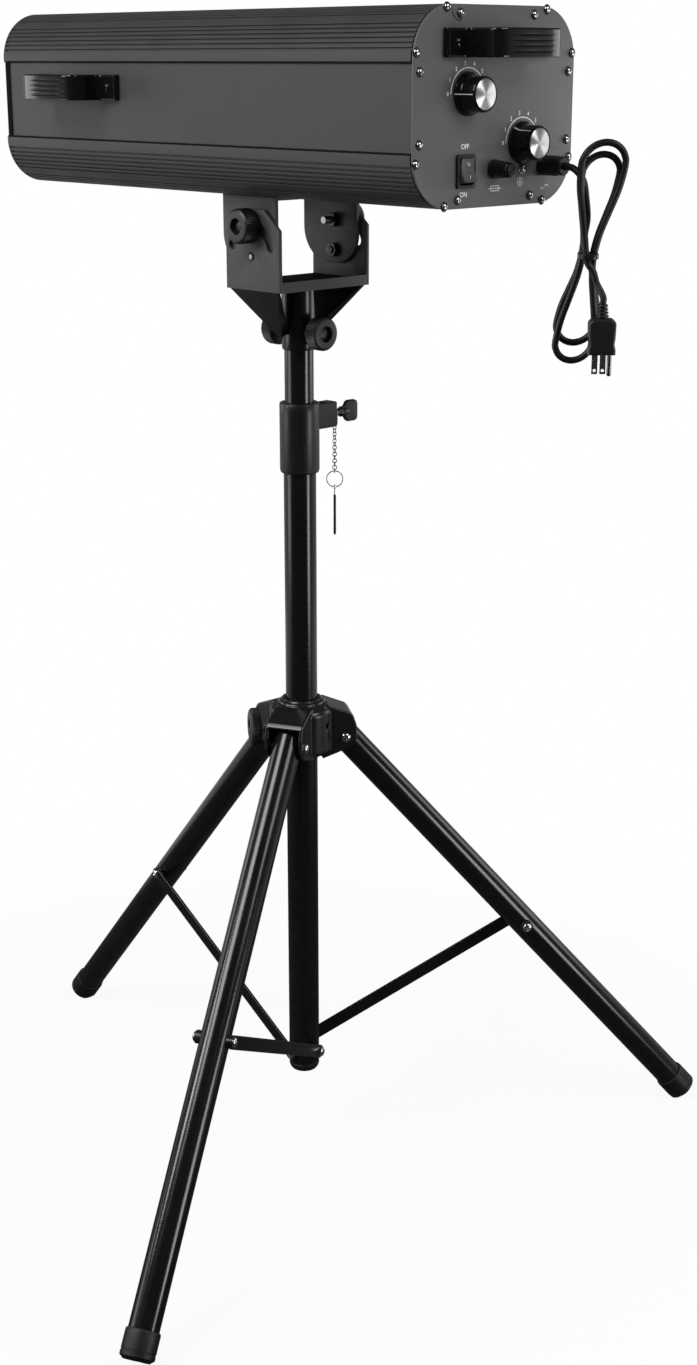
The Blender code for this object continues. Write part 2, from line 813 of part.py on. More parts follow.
# Legs with feet on the floor, and braces from the leg to the lower tube
foot_tread = ((0.75 * foot_radius, 0), (foot_radius, 0.12 * foot_length))
foot_dip = max(r * math.sin(leg_lean) - h * math.cos(leg_lean) for r, h in foot_tread)
leg_length = (hub_pivot_height + foot_flat - foot_dip) / math.cos(leg_lean)
foot_bore = leg_radius + FIT
brace_end_reach = hub_pivot_reach + brace_along_leg * math.sin(leg_lean)
brace_end_rise = hub_pivot_height - brace_along_leg * math.cos(leg_lean) - brace_pivot_height
brace_length = math.hypot(brace_end_reach, brace_end_rise)
brace_slope = math.atan2(brace_end_rise, brace_end_reach)
below_floor = block((-leg_length, -leg_length, -foot_length), (leg_length, leg_length, 0))
floor_trim = tool("floor_trim", below_floor, root)
for k, heading in enumerate(leg_headings):
    at = (hub_pivot_reach * math.cos(heading), hub_pivot_reach * math.sin(heading), 0)
    leg_axis = empty(f"leg_axis_{k + 1}", hub_axis, at, heading)
    leg_lean_axis = empty(f"leg_lean_{k + 1}", leg_axis)
    leg_lean_axis.rotation_euler.y = -leg_lean
    leg_foot = -leg_length + foot_sole + FIT
    leg_tube = tube(leg_radius, leg_radius - leg_wall, leg_foot, leg_head)
    leg = place(f"leg_{k + 1}", leg_tube, leg_lean_axis, tube_paint)
    leg_hole = rod(hub_bolt_radius + FIT, -leg_radius - PAST, leg_radius + PAST, "Y")
    cut(leg, tool(f"leg_hole_{k + 1}", leg_hole, leg_lean_axis))
    outer_face = -leg_radius - outer_spacer
    spacer_profile = [
        (0, outer_face - bolt_head_height),
        (0.7 * bolt_head_radius, outer_face - bolt_head_height),
        (bolt_head_radius, outer_face - 0.5 * bolt_head_height),
        (bolt_head_radius, outer_face),
        (spacer_radius, outer_face),
        (spacer_radius, -leg_radius + 2 * weld_depth),
        (brace_bolt_radius, -leg_radius + 2 * weld_depth),
        (brace_bolt_radius, leg_radius - 2 * weld_depth),
        (spacer_radius, leg_radius - 2 * weld_depth),
        (spacer_radius, brace_inner_face - FIT),
        (0, brace_inner_face - FIT),
    ]
    brace_bolt = moved(turned(spacer_profile, "Y", SMALL_ROUND), (0, 0, -brace_along_leg))
    join(leg, tool(f"brace_bolt_{k + 1}", brace_bolt, leg_lean_axis))

    foot_profile = [
        (0, -leg_length),
        *((r, -leg_length + h) for r, h in foot_tread),
        (foot_radius, -leg_length + 0.9 * foot_length),
        (0.5 * (foot_radius + foot_bore), -leg_length + foot_length),
        (foot_bore, -leg_length + foot_length),
        (foot_bore, -leg_length + foot_sole),
        (0, -leg_length + foot_sole),
    ]
    foot = place(f"foot_{k + 1}", turned(foot_profile), leg_lean_axis, rubber)
    cut(foot, floor_trim)

    brace_axis = empty(f"brace_axis_{k + 1}", column, (0, 0, brace_pivot_height), heading)
    brace_lean = empty(f"brace_lean_{k + 1}", brace_axis)
    brace_lean.rotation_euler.y = -brace_slope
    bar = prism(stadium(brace_length, brace_width / 2), brace_inner_face, brace_outer_face, "Y")
    brace = place(f"brace_{k + 1}", bar, brace_lean, tube_paint)
    brace_hole = rod(brace_bolt_radius + FIT, brace_inner_face - PAST, brace_outer_face + PAST, "Y")
    cut(brace, tool(f"brace_hole_{k + 1}", brace_hole, brace_lean))
    head_profile = [
        (0, brace_outer_face - weld_depth),
        (bolt_head_radius, brace_outer_face - weld_depth),
        (bolt_head_radius, brace_outer_face + 0.6 * bolt_head_height),
        (0.6 * bolt_head_radius, brace_outer_face + bolt_head_height),
        (0, brace_outer_face + bolt_head_height),
    ]
    bolt_head = moved(turned(head_profile, "Y", SMALL_ROUND), (brace_length, 0, 0))
    join(brace, tool(f"brace_head_{k + 1}", bolt_head, brace_lean))

# Mast and yoke socket
mast = empty("mast", root)
base_foot = collar_top + socket_above_collar + socket_length
upper_tube_top = base_foot - upper_tube_inset
upper_bore = upper_tube_radius - upper_tube_wall
upper_tube_foot = upper_tube_top - upper_tube_length
upper_tube_shape = tube(upper_tube_radius, upper_bore, upper_tube_foot, upper_tube_top)
place("upper_tube", upper_tube_shape, mast, tube_paint)
yoke = empty("yoke", mast, (0, 0, base_foot))
socket_bore = upper_tube_radius + FIT
socket_wall = socket_radius - socket_bore
socket_profile = [
    (socket_bore, -socket_length),
    (socket_radius - 0.6 * socket_wall, -socket_length),
    (socket_radius, -socket_length + socket_wall),
    (socket_radius, -FIT),
    (socket_bore, -FIT),
]
yoke_socket = place("yoke_socket", turned(socket_profile, ring=True), yoke, bracket_paint)
gusset_top = yoke_half_span - weld_depth
gusset_across = 1.4 * gusset_thickness
gusset_root = socket_bore + 0.3 * socket_wall
for side, label in ((-1, "left"), (1, "right")):
    corners = []
    for depth in (-1, 1):
        corners += [
            (side * gusset_top, depth * gusset_half_top, -FIT),
            (side * (gusset_top - gusset_across), depth * gusset_half_top, -FIT),
            (side * (socket_radius + gusset_toe), depth * gusset_half_toe, -gusset_drop),
            (side * gusset_root, depth * gusset_half_toe, -gusset_drop + gusset_across),
        ]
    join(yoke_socket, tool(f"gusset_{label}", hull(corners), yoke))
knob_drop = -socket_length + socket_knob_rise
for side, label in ((1, "front"), (-1, "rear")):
    along = "Y" if side > 0 else "-Y"
    boss = rod(socket_boss_radius, socket_bore + 0.4 * socket_wall, socket_boss_reach, along)
    join(yoke_socket, tool(f"socket_boss_{label}", moved(boss, (0, 0, knob_drop)), yoke))
cut(yoke_socket, tool("socket_bore", rod(socket_bore, -2 * socket_length, socket_length, "Z", ROUND), yoke))
hole_end = socket_boss_reach + PAST
through_hole = rod(knob_screw_radius + FIT, -hole_end, hole_end, "Y")
cut(yoke_socket, tool("socket_screw_hole", moved(through_hole, (0, 0, knob_drop)), yoke))
for side, label in ((1, "front"), (-1, "rear")):
    shape = knob(
        socket_knob_radius,
        socket_knob_length,
        0.47 * socket_knob_radius,
        knob_recess,
        knob_screw_radius,
        socket_boss_reach + FIT - socket_bore,
        "Y" if side > 0 else "-Y",
    )
    knob_place = (0, side * (socket_boss_reach + FIT), knob_drop)
    place(f"socket_knob_{label}", shape, yoke, black_plastic, knob_place)

# Yoke: a U with a rear lip, pivot holes and curved slots
plate_top = pivot_height + yoke_top_above_pivot
plate_outline = [
    (-yoke_half_depth, 0),
    (yoke_half_depth, 0),
    (yoke_half_depth, plate_top - yoke_chamfer_down),
    (yoke_half_depth - yoke_chamfer_along, plate_top),
    (-yoke_half_depth + yoke_chamfer_along, plate_top),
    (-yoke_half_depth, plate_top - yoke_chamfer_down),
]
base_low = (-yoke_half_span + 0.5 * yoke_plate, -yoke_half_depth, 0)
base_high = (yoke_half_span - 0.5 * yoke_plate, yoke_half_depth, yoke_base)
yoke_bracket = place("yoke_bracket", block(base_low, base_high), yoke, bracket_paint)
yoke_inside = yoke_half_span - yoke_plate
for side, label in ((-1, "left"), (1, "right")):
    levels = sorted((side * yoke_inside, side * yoke_half_span))
    join(yoke_bracket, tool(f"yoke_plate_{label}", prism(plate_outline, *levels, "X"), yoke))
lip_low = (-yoke_half_span + 0.5 * yoke_plate, -yoke_half_depth, 0.5 * yoke_base)
lip_high = (yoke_half_span - 0.5 * yoke_plate, -yoke_half_depth + yoke_lip_thickness, yoke_lip_height)
join(yoke_bracket, tool("yoke_lip", block(lip_low, lip_high), yoke))
slot_half = tilt_bolt_radius + slot_play
slot_rear = math.pi / 2 + slot_half_angle
slot_front = math.pi / 2 - slot_half_angle
slot_ends = [(slot_radius * math.cos(a), slot_radius * math.sin(a)) for a in (slot_rear, slot_front)]
curved_slot = arc((0, 0), slot_radius + slot_half, slot_front, slot_rear, 20)
curved_slot += arc(slot_ends[0], slot_half, slot_rear, slot_rear + math.pi, 6)[1:-1]
curved_slot += arc((0, 0), slot_radius - slot_half, slot_rear, slot_front, 20)
curved_slot += arc(slot_ends[1], slot_half, slot_front + math.pi, slot_front + 2 * math.pi, 6)[1:-1]
curved_slot = [(pivot_forward + u, pivot_height + v) for u, v in curved_slot]
yoke_cutters = []
for side in (-1, 1):
    levels = sorted((side * (yoke_inside - SHORT_PAST), side * (yoke_half_span + SHORT_PAST)))
    yoke_cutters.append(prism(curved_slot, *levels, "X"))
    hole = rod(tilt_bolt_radius + FIT, *levels, "X")
    yoke_cutters.append(moved(hole, (0, pivot_forward, pivot_height)))
cut(yoke_bracket, tool("yoke_holes", together(*yoke_cutters), yoke))

# Head bracket: an inverted U with pivot studs, in the head's frame at the tilt pivot
head_axis = empty("head_axis", yoke, (0, pivot_forward, pivot_height))
ear_outside = yoke_inside - ear_gap
ear_inside_face = ear_outside - ear_plate
web_top = lamp_above_pivot - FIT
rear_edge = ear_rear - pivot_forward
front_edge = ear_front - pivot_forward
ear_outline = [(front_edge, web_top), (rear_edge, web_top)]
rear_centre = (rear_edge + ear_rear_corner, -ear_below_pivot + ear_rear_corner)
front_centre = (front_edge - ear_front_corner, -ear_below_pivot + ear_front_corner)
ear_outline += arc(rear_centre, ear_rear_corner, math.pi, 1.5 * math.pi, 8)
ear_outline += arc(front_centre, ear_front_corner, -math.pi / 2, 0, 8)
web_low = (-ear_outside + 0.5 * ear_plate, rear_edge, web_top - bracket_web)
web_high = (ear_outside - 0.5 * ear_plate, front_edge, web_top)
head_bracket = place("head_bracket", block(web_low, web_high), head_axis, bracket_paint)
ear_holes = []
for side, label in ((-1, "left"), (1, "right")):
    levels = sorted((side * ear_inside_face, side * ear_outside))
    join(head_bracket, tool(f"ear_{label}", prism(ear_outline, *levels, "X"), head_axis))
    nut_face = ear_inside_face - pivot_nut_height
    nut = [
        (0, nut_face - stud_end),
        (tilt_bolt_radius, nut_face - stud_end),
        (tilt_bolt_radius, nut_face),
        (pivot_nut_radius, nut_face),
        (pivot_nut_radius, ear_inside_face + weld_depth),
        (tilt_bolt_radius, ear_inside_face + weld_depth),
        (tilt_bolt_radius, yoke_half_span + 0.5 * stud_end),
        (0, yoke_half_span + 0.5 * stud_end),
    ]
    pivot_stud = turned(nut, "X", SMALL_ROUND)
    if side < 0:
        pivot_stud.transform(Matrix.Rotation(math.pi, 4, "Z"))
    join(head_bracket, tool(f"pivot_stud_{label}", pivot_stud, head_axis))
    hole_levels = sorted((side * (ear_inside_face - SHORT_PAST), side * (ear_outside + SHORT_PAST)))
    ear_holes.append(moved(rod(tilt_bolt_radius + FIT, *hole_levels, "X"), (0, 0, slot_radius)))
cut(head_bracket, tool("ear_holes", together(*ear_holes), head_axis))
for side, label in ((-1, "left"), (1, "right")):
    shape = knob(
        tilt_knob_radius,
        tilt_knob_length,
        0.45 * tilt_knob_radius,
        knob_recess,
        tilt_bolt_radius,
        yoke_half_span + FIT - ear_inside_face + tilt_bolt_end,
        "X",
    )
    if side < 0:
        shape.transform(Matrix.Rotation(math.pi, 4, "Z"))
    knob_place = (side * (yoke_half_span + FIT), 0, slot_radius)
    place(f"tilt_knob_{label}", shape, head_axis, black_plastic, knob_place)

# Housing: four ribbed rails, four panels, and the end plates, about the lamp's own axis
lamp_axis = empty("lamp_axis", head_axis, (0, -pivot_forward, lamp_above_pivot + lamp_height / 2))
half_width = lamp_width / 2
half_height = lamp_height / 2
corner_centre = (half_width - lamp_corner, half_height - lamp_corner)
rail_rear = lamp_rear + rear_plate_thickness + FIT


def rail_outline():
    """The +X +Z rail: flat bands by its seams, two bands of ribs, and a smooth band between."""
    outer = [(top_seam, half_height)]
    for high_edge, low_edge in rib_bands:
        start = math.radians(high_edge)
        end = math.radians(low_edge)
        rib = (end - start) / rail_ribs
        for k in range(rail_ribs):
            low = start + k * rib
            for share, radius in ((0, 0), (0.5, 0), (0.62, rib_depth), (0.88, rib_depth)):
                angle = low + share * rib
                outer += arc(corner_centre, lamp_corner - radius, angle, angle, 1)[:1]
        outer += arc(corner_centre, lamp_corner, end, end - math.radians(2), 1)
    outer.append((half_width, side_seam))
    inner = [(half_width - rail_thickness, side_seam)]
    inner += arc(corner_centre, lamp_corner - rail_thickness, 0, math.pi / 2, 10)
    inner.append((top_seam, half_height - rail_thickness))
    return outer + inner


for across, side in ((-1, "left"), (1, "right")):
    for up_sign, level in ((1, "top"), (-1, "bottom")):
        outline = [(across * x, up_sign * z) for x, z in rail_outline()]
        place(f"rail_{level}_{side}", prism(outline, rail_rear, lamp_front, "Y"), lamp_axis, housing_paint)

front_plate_rear = lamp_front - front_plate_thickness
panel_front = front_plate_rear - FIT
side_face = half_width - panel_recess
for across, side in ((-1, "left"), (1, "right")):
    levels = sorted((across * (side_face - panel_thickness), across * side_face))
    low = (levels[0], rail_rear, -side_seam + FIT)
    high = (levels[1], panel_front, side_seam - FIT)
    place(f"side_panel_{side}", block(low, high), lamp_axis, housing_paint)
top_face = half_height - panel_recess
for up_sign, level in ((1, "top"), (-1, "bottom")):
    levels = sorted((up_sign * (top_face - panel_thickness), up_sign * top_face))
    low = (-top_seam + FIT, rail_rear, levels[0])
    high = (top_seam - FIT, panel_front, levels[1])
    panel = place(f"{level}_panel", block(low, high), lamp_axis, housing_paint)
    vents = []
    for k in range(vent_count):
        vent_outline = [(u - vent_length / 2, v) for u, v in stadium(vent_length, vent_radius, 2)]
        vent = prism(vent_outline, levels[0] - PAST, levels[1] + PAST)
        vents.append(moved(vent, (0, vent_rear + k * vent_step, 0)))
    cut(panel, tool(f"{level}_vents", together(*vents), lamp_axis))

rear_outline = rounded_rectangle(lamp_width, lamp_height, lamp_corner, 12)
rear_plate = place(
    "rear_plate",
    prism(rear_outline, lamp_rear, lamp_rear + rear_plate_thickness, "Y"),
    lamp_axis,
    plate_paint,
)
rocker_body = [size - 2 * (rocker_body_wall + WELD) for size in rocker_bezel]
plate_holes = []
for x, z in (colour_knob_at, aperture_knob_at):
    plate_holes.append(moved(rod(dial_shaft_radius + FIT, -PAST, PAST, "Y"), (x, lamp_rear, z)))
for x, z in (fuse_at, gland_at):
    plate_holes.append(moved(rod(fuse_thread_radius + FIT, -PAST, PAST, "Y", ROUND), (x, lamp_rear, z)))
window_size = [size + 2 * FIT for size in rocker_body]
window = rounded_rectangle(*window_size, rocker_body_wall, 2)
plate_holes.append(moved(prism(window, -PAST, PAST, "Y"), (rocker_at[0], lamp_rear, rocker_at[1])))
cut(rear_plate, tool("rear_plate_holes", together(*plate_holes), lamp_axis))

inset = rail_thickness + FIT
front_outline = []
for k, (across, up_sign) in enumerate(((1, 1), (-1, 1), (-1, -1), (1, -1))):
    centre = (across * corner_centre[0], up_sign * corner_centre[1])
    bend = arc(centre, lamp_corner - inset, k * math.pi / 2, (k + 1) * math.pi / 2, 8)
    side_step = (across * (half_width - inset), up_sign * (side_seam - FIT))
    side_tab = (across * side_face, up_sign * (side_seam - FIT))
    top_step = (across * (top_seam - FIT), up_sign * (half_height - inset))
    top_tab = (across * (top_seam - FIT), up_sign * top_face)
    if k % 2 == 0:
        front_outline += [side_tab, side_step, *bend, top_step, top_tab]
    else:
        front_outline += [top_tab, top_step, *bend, side_step, side_tab]
front_plate = place(
    "front_plate",
    prism(front_outline, front_plate_rear, lamp_front - FIT, "Y"),
    lamp_axis,
    black_plastic,
)
lens_hole = rod(lens_opening, front_plate_rear - PAST, lamp_front + PAST, "Y", LENS_ROUND)
cut(front_plate, tool("lens_hole", lens_hole, lamp_axis))
bezel_bore = lens_radius + FIT
bezel_lip = lens_edge + 4 * FIT
bezel_profile = [
    (bezel_bore, 0),
    (bezel_radius, 0),
    (bezel_radius, bezel_depth - bezel_edge),
    (bezel_radius - bezel_edge, bezel_depth),
    (lens_opening + FIT, bezel_depth),
    (lens_opening + FIT, bezel_lip),
    (bezel_bore, bezel_lip),
]
lens_place = (0, lamp_front, 0)
bezel = turned(bezel_profile, "Y", LENS_ROUND, ring=True)
place("lens_bezel", bezel, lamp_axis, black_plastic, lens_place)
dome = [(lens_radius * (1 - k / 4), lens_edge + lens_swell * (1 - (1 - k / 4) ** 2)) for k in range(5)]
lens = turned([(0, 0), (lens_radius, 0), *dome], "Y", LENS_ROUND)
place("front_lens", lens, lamp_axis, glass, lens_place)

# Inside: a tray with uprights, the lamp and its reflector, ballast, fan, colour wheel and iris ring
floor_level = -top_face + panel_thickness + FIT
tray_top = floor_level + sheet
upright_half = upright_thickness / 2
tray_low = (-tray_half_width, lamp_rear + tray_rear_gap, floor_level)
tray = place("chassis_tray", block(tray_low, (tray_half_width, tray_front, tray_top)), lamp_axis, steel)
root_level = floor_level + 0.25 * sheet
upright_outline = [
    (-upright_half_width, root_level),
    (upright_half_width, root_level),
    (upright_half_width, lamp_upright_top),
    (-upright_half_width, lamp_upright_top),
]
levels = (lamp_upright - upright_half, lamp_upright + upright_half)
join(tray, tool("lamp_upright", prism(upright_outline, *levels, "Y"), lamp_axis))
gate_outline = [
    (-upright_half_width, root_level),
    (upright_half_width, root_level),
    (upright_half_width, gate_arm_low - 2 * sheet),
    (gate_arm_reach, gate_arm_low),
    (gate_arm_reach, gate_upright_top),
    (-upright_half_width, gate_upright_top),
]
levels = (gate_upright - upright_half, gate_upright + upright_half)
join(tray, tool("gate_upright", prism(gate_outline, *levels, "Y"), lamp_axis))
post_rear = lamp_base_rear + sheet
post_low = (-lamp_post_half_width, post_rear, root_level)
post_high = (lamp_post_half_width, post_rear + 2 * lamp_post_half_width, -lamp_base_radius - FIT)
join(tray, tool("lamp_post", block(post_low, post_high), lamp_axis))
tray_holes = together(
    moved(rod(reflector_radius, -PAST, PAST, "Y", ROUND), (0, lamp_upright, 0)),
    moved(rod(gate_radius, -PAST, PAST, "Y", ROUND), (0, gate_upright, 0)),
    moved(rod(motor_shaft_radius + FIT, -PAST, PAST, "Y"), (wheel_at, gate_upright, 0)),
)
cut(tray, tool("tray_holes", tray_holes, lamp_axis))

reflector_front = lamp_upright - upright_half - FIT
bowl = []
for k in range(6):
    depth = reflector_depth * math.sin(0.5 * math.pi * k / 5)
    bowl.append((reflector_radius * math.sqrt(1 - (depth / reflector_focus) ** 2), reflector_front - depth))
inner_bowl = [(r - reflector_wall, y) for r, y in bowl]
flange_radius = reflector_radius + reflector_flange
reflector_profile = [
    (flange_radius, reflector_front),
    (flange_radius, reflector_front - reflector_wall),
    *bowl[1:],
    *reversed(inner_bowl),
]
place("reflector", turned(reflector_profile, "Y", SMALL_ROUND, ring=True), lamp_axis, aluminium)
lamp_base_front = reflector_front - reflector_depth - FIT
bulb_shares = ((0.38, bulb_neck_radius), (0.5, 0.93 * bulb_radius), (0.64, bulb_radius))
bulb_shares += ((0.79, 0.93 * bulb_radius), (0.95, 0.43 * bulb_radius), (1, 0))
lamp_profile = [
    (0, lamp_base_rear),
    (lamp_base_radius, lamp_base_rear),
    (lamp_base_radius, lamp_base_front),
    (bulb_neck_radius, lamp_base_front),
    *((radius, lamp_base_front + share * bulb_length) for share, radius in bulb_shares),
]
place("discharge_lamp", turned(lamp_profile, "Y", SMALL_ROUND), lamp_axis, glass)

ballast_low = (-ballast_half_width, ballast_rear, tray_top + FIT)
ballast_high = (ballast_half_width, ballast_front, ballast_top)
ballast = place("ballast", block(ballast_low, ballast_high), lamp_axis, bracket_paint)
soften(ballast, sheet, 1)

fan_middle = ballast_top + FIT + fan_half
fan_outline = rounded_rectangle(2 * fan_half, 2 * fan_half, 0.15 * fan_half, 3)
fan_axis = empty("fan_axis", lamp_axis, (0, 0, fan_middle))
fan_frame = place("fan_frame", prism(fan_outline, fan_rear, fan_front, "Y"), fan_axis, black_plastic)
cut(fan_frame, tool("fan_bore", rod(fan_bore, fan_rear - PAST, fan_front + PAST, "Y", ROUND), fan_axis))
strut_front = fan_rear + fan_strut
strut_reach = fan_bore + weld_depth
for k, turn in enumerate((math.pi / 4, 3 * math.pi / 4)):
    strut_low = (-strut_reach, fan_rear, -fan_strut_half_width)
    strut = block(strut_low, (strut_reach, strut_front, fan_strut_half_width))
    join(fan_frame, tool(f"fan_strut_{k + 1}", moved(strut, (0, 0, 0), turn, "Y"), fan_axis))
pin_end = strut_front + fan_pin_length
pin_profile = [
    (0, fan_rear),
    (0.8 * fan_rotor_radius, fan_rear),
    (0.8 * fan_rotor_radius, strut_front),
    (fan_pin_radius, strut_front),
    (fan_pin_radius, pin_end),
    (0, pin_end),
]
join(fan_frame, tool("fan_pin", turned(pin_profile, "Y", SMALL_ROUND), fan_axis))
rotor_rear = strut_front + FIT
rotor_front = fan_front - 3 * FIT
rotor_profile = [
    (0, pin_end + FIT),
    (fan_pin_radius + FIT, pin_end + FIT),
    (fan_pin_radius + FIT, rotor_rear),
    (fan_rotor_radius, rotor_rear),
    (fan_rotor_radius, rotor_front),
    (0, rotor_front),
]
fan_rotor = place("fan_rotor", turned(rotor_profile, "Y", SMALL_ROUND), fan_axis, black_plastic)
blade_ends = ((rotor_rear + sheet, -fan_blade_twist), (rotor_front - sheet, fan_blade_twist))
for k in range(fan_blades):
    angle = 2 * math.pi * k / fan_blades
    corners = []
    for reach in (0.8 * fan_rotor_radius, fan_bore - 5 * FIT):
        for level, twist in blade_ends:
            for edge in (-fan_blade_half, fan_blade_half):
                swing = angle + twist + edge / reach
                corners.append((reach * math.cos(swing), level, reach * math.sin(swing)))
    join(fan_rotor, tool(f"fan_blade_{k + 1}", hull(corners), fan_axis))

wheel_axis = empty("wheel_axis", lamp_axis, (wheel_at, 0, 0))
gate_rear = gate_upright - upright_half
wheel_rear = gate_rear - wheel_gap
wheel_front = wheel_rear + 0.75 * sheet
shaft_end = gate_upright + motor_shaft_depth
wheel_profile = [
    (0, wheel_rear - sheet),
    (wheel_hub_radius, wheel_rear - sheet),
    (wheel_hub_radius, wheel_rear),
    (wheel_at + wheel_rim, wheel_rear),
    (wheel_at + wheel_rim, wheel_front),
    (wheel_hub_radius, wheel_front),
    (wheel_hub_radius, gate_rear - FIT),
    (motor_shaft_radius, gate_rear - FIT),
    (motor_shaft_radius, shaft_end),
    (0, shaft_end),
]
colour_wheel = place("colour_wheel", turned(wheel_profile, "Y"), wheel_axis, aluminium)
filters = []
for k in range(wheel_filters):
    angle = math.pi + 2 * math.pi * k / wheel_filters
    hole = rod(filter_radius, wheel_rear - PAST, wheel_rear + PAST, "Y", 12)
    filters.append(moved(hole, (wheel_at * math.cos(angle), 0, wheel_at * math.sin(angle))))
cut(colour_wheel, tool("filter_holes", together(*filters), wheel_axis))
motor_rear = gate_upright + upright_half + FIT
motor_outline = rounded_rectangle(motor_width, motor_width, 0.1 * motor_width, 2)
motor_shape = prism(motor_outline, motor_rear, motor_rear + motor_length, "Y")
wheel_motor = place("wheel_motor", motor_shape, wheel_axis, black_plastic)
motor_bore = rod(motor_shaft_radius + FIT, motor_rear - PAST, shaft_end + sheet, "Y")
cut(wheel_motor, tool("motor_bore", motor_bore, wheel_axis))
iris_axis = empty("iris_axis", lamp_axis)
iris_front = motor_rear + iris_ring_thickness
iris_shape = tube(iris_ring_radius, gate_radius + FIT, motor_rear, iris_front, "Y")
iris_ring = place("iris_ring", iris_shape, iris_axis, aluminium)
lever_low = (-iris_lever_reach, motor_rear + WELD, -iris_ring_thickness)
lever_high = (-0.8 * iris_ring_radius, iris_front - WELD, iris_ring_thickness)
join(iris_ring, tool("iris_lever", block(lever_low, lever_high), iris_axis))

# Rear controls
dial_profile = [
    (0, -dial_shaft_length),
    (dial_shaft_radius, -dial_shaft_length),
    (dial_shaft_radius, FIT),
    (dial_skirt_radius, FIT),
    (dial_skirt_radius, 0.1 * dial_length),
    (1.05 * dial_cap_radius, 0.24 * dial_length),
    (dial_cap_radius, 0.31 * dial_length),
    (0.975 * dial_cap_radius, 0.94 * dial_length),
    (0.89 * dial_cap_radius, dial_length),
    (0, dial_length),
]
for name, (x, z) in (("colour_knob", colour_knob_at), ("aperture_knob", aperture_knob_at)):
    place(name, turned(dial_profile, "-Y"), lamp_axis, aluminium, (x, lamp_rear, z))

rocker_axis = empty("rocker_axis", lamp_axis, (rocker_at[0], lamp_rear, rocker_at[1]))
rocker_corner = 2 * rocker_body_wall
bezel_outline = rounded_rectangle(*rocker_bezel, rocker_corner, 3)
bezel_shape = prism(bezel_outline, rocker_bezel_front, -FIT, "Y")
rocker_frame = place("rocker_frame", bezel_shape, rocker_axis, black_plastic)
soften(rocker_frame, 0.25 * rocker_corner, 1)
body_outline = rounded_rectangle(*rocker_body, rocker_body_wall, 2)
body = prism(body_outline, 0.5 * rocker_bezel_front, rocker_body_depth, "Y")
join(rocker_frame, tool("rocker_body", body, rocker_axis))
pocket_outline = rounded_rectangle(*rocker_pocket, 0.7 * rocker_body_wall, 2)
pocket = prism(pocket_outline, rocker_bezel_front - PAST, rocker_pocket_depth, "Y")
cut(rocker_frame, tool("rocker_pocket", pocket, rocker_axis))
rocker_outline = [
    (rocker_dip - rocker_rise, 0),
    (-rocker_rise, rocker_end),
    (0.14 * rocker_rise, rocker_end),
    (rocker_rise, 0.5 * rocker_end),
    (rocker_rise, -0.5 * rocker_end),
    (0.14 * rocker_rise, -rocker_end),
    (-rocker_rise, -rocker_end),
]
half_rocker = rocker_pocket[0] / 2 - FIT
rocker_shape = prism(rocker_outline, -half_rocker, half_rocker, "X")
rocker = place("rocker", rocker_shape, rocker_axis, grey_plastic)
rocker.rotation_euler.x = -rocker_lean

fuse_end = 1.5 * fuse_depth
fuse_edge = 0.25 * fuse_rim
fuse_profile = [
    (0, -fuse_end),
    (fuse_thread_radius, -fuse_end),
    (fuse_thread_radius, FIT),
    (fuse_base_radius, FIT),
    (fuse_base_radius, fuse_rim - fuse_edge),
    (fuse_base_radius - fuse_edge, fuse_rim),
    (fuse_bore, fuse_rim),
    (fuse_bore, -fuse_depth),
    (0, -fuse_depth),
]
fuse_place = (fuse_at[0], lamp_rear, fuse_at[1])
place("fuse_holder", turned(fuse_profile, "-Y", KNOB_ROUND), lamp_axis, black_plastic, fuse_place)
cap_profile = [
    (0, -fuse_depth + fuse_edge),
    (fuse_bore - FIT, -fuse_depth + fuse_edge),
    (fuse_bore - FIT, fuse_rim + FIT),
    (fuse_base_radius - fuse_edge, fuse_rim + FIT),
    (fuse_base_radius - fuse_edge, 0.4 * fuse_length),
    (0.75 * fuse_base_radius, 0.9 * fuse_length),
    (0.66 * fuse_base_radius, fuse_length),
    (0, fuse_length),
]
place("fuse_cap", turned(cap_profile, "-Y", KNOB_ROUND), lamp_axis, black_plastic, fuse_place)

gland_bore = cord_radius + 1.3 * FIT
gland_profile = [
    (gland_bore, -gland_depth),
    (fuse_thread_radius, -gland_depth),
    (fuse_thread_radius, FIT),
    (gland_radius, FIT),
    (gland_radius, gland_length - 5 * gland_groove),
    (gland_radius - gland_groove, gland_length - 4.2 * gland_groove),
    (gland_radius - gland_groove, gland_length - 3.4 * gland_groove),
    (gland_radius, gland_length - 2.5 * gland_groove),
    (gland_radius - 0.5 * gland_groove, gland_length),
    (gland_bore, gland_length),
]
gland_place = (gland_at[0], lamp_rear, gland_at[1])
gland = turned(gland_profile, "-Y", KNOB_ROUND, ring=True)
place("cord_gland", gland, lamp_axis, black_plastic, gland_place)

# Handles: a flat foot at each end, steep legs, and a slightly bowed grip
half_handle = handle_length / 2
leg_outer = half_handle - handle_foot
grip_outer = leg_outer - handle_leg_lean
crest = handle_height - handle_bar
grip_end = handle_height - handle_bow
half_outline = [
    (half_handle, FIT),
    (half_handle, 0.75 * handle_foot_height),
    (half_handle - 0.3 * handle_foot_height, handle_foot_height),
    (leg_outer + 0.5 * handle_foot_height, handle_foot_height),
    (leg_outer, 1.7 * handle_foot_height),
    (grip_outer + 0.4 * handle_bar, grip_end - 1.3 * handle_bar),
    (grip_outer + 0.12 * handle_bar, grip_end - 0.6 * handle_bar),
    (grip_outer - 0.46 * handle_bar, grip_end - 0.12 * handle_bar),
    (grip_outer - 1.5 * handle_bar, handle_height - 0.6 * handle_bow),
    (0.4 * grip_outer, handle_height - 0.16 * handle_bow),
    (0, handle_height),
]
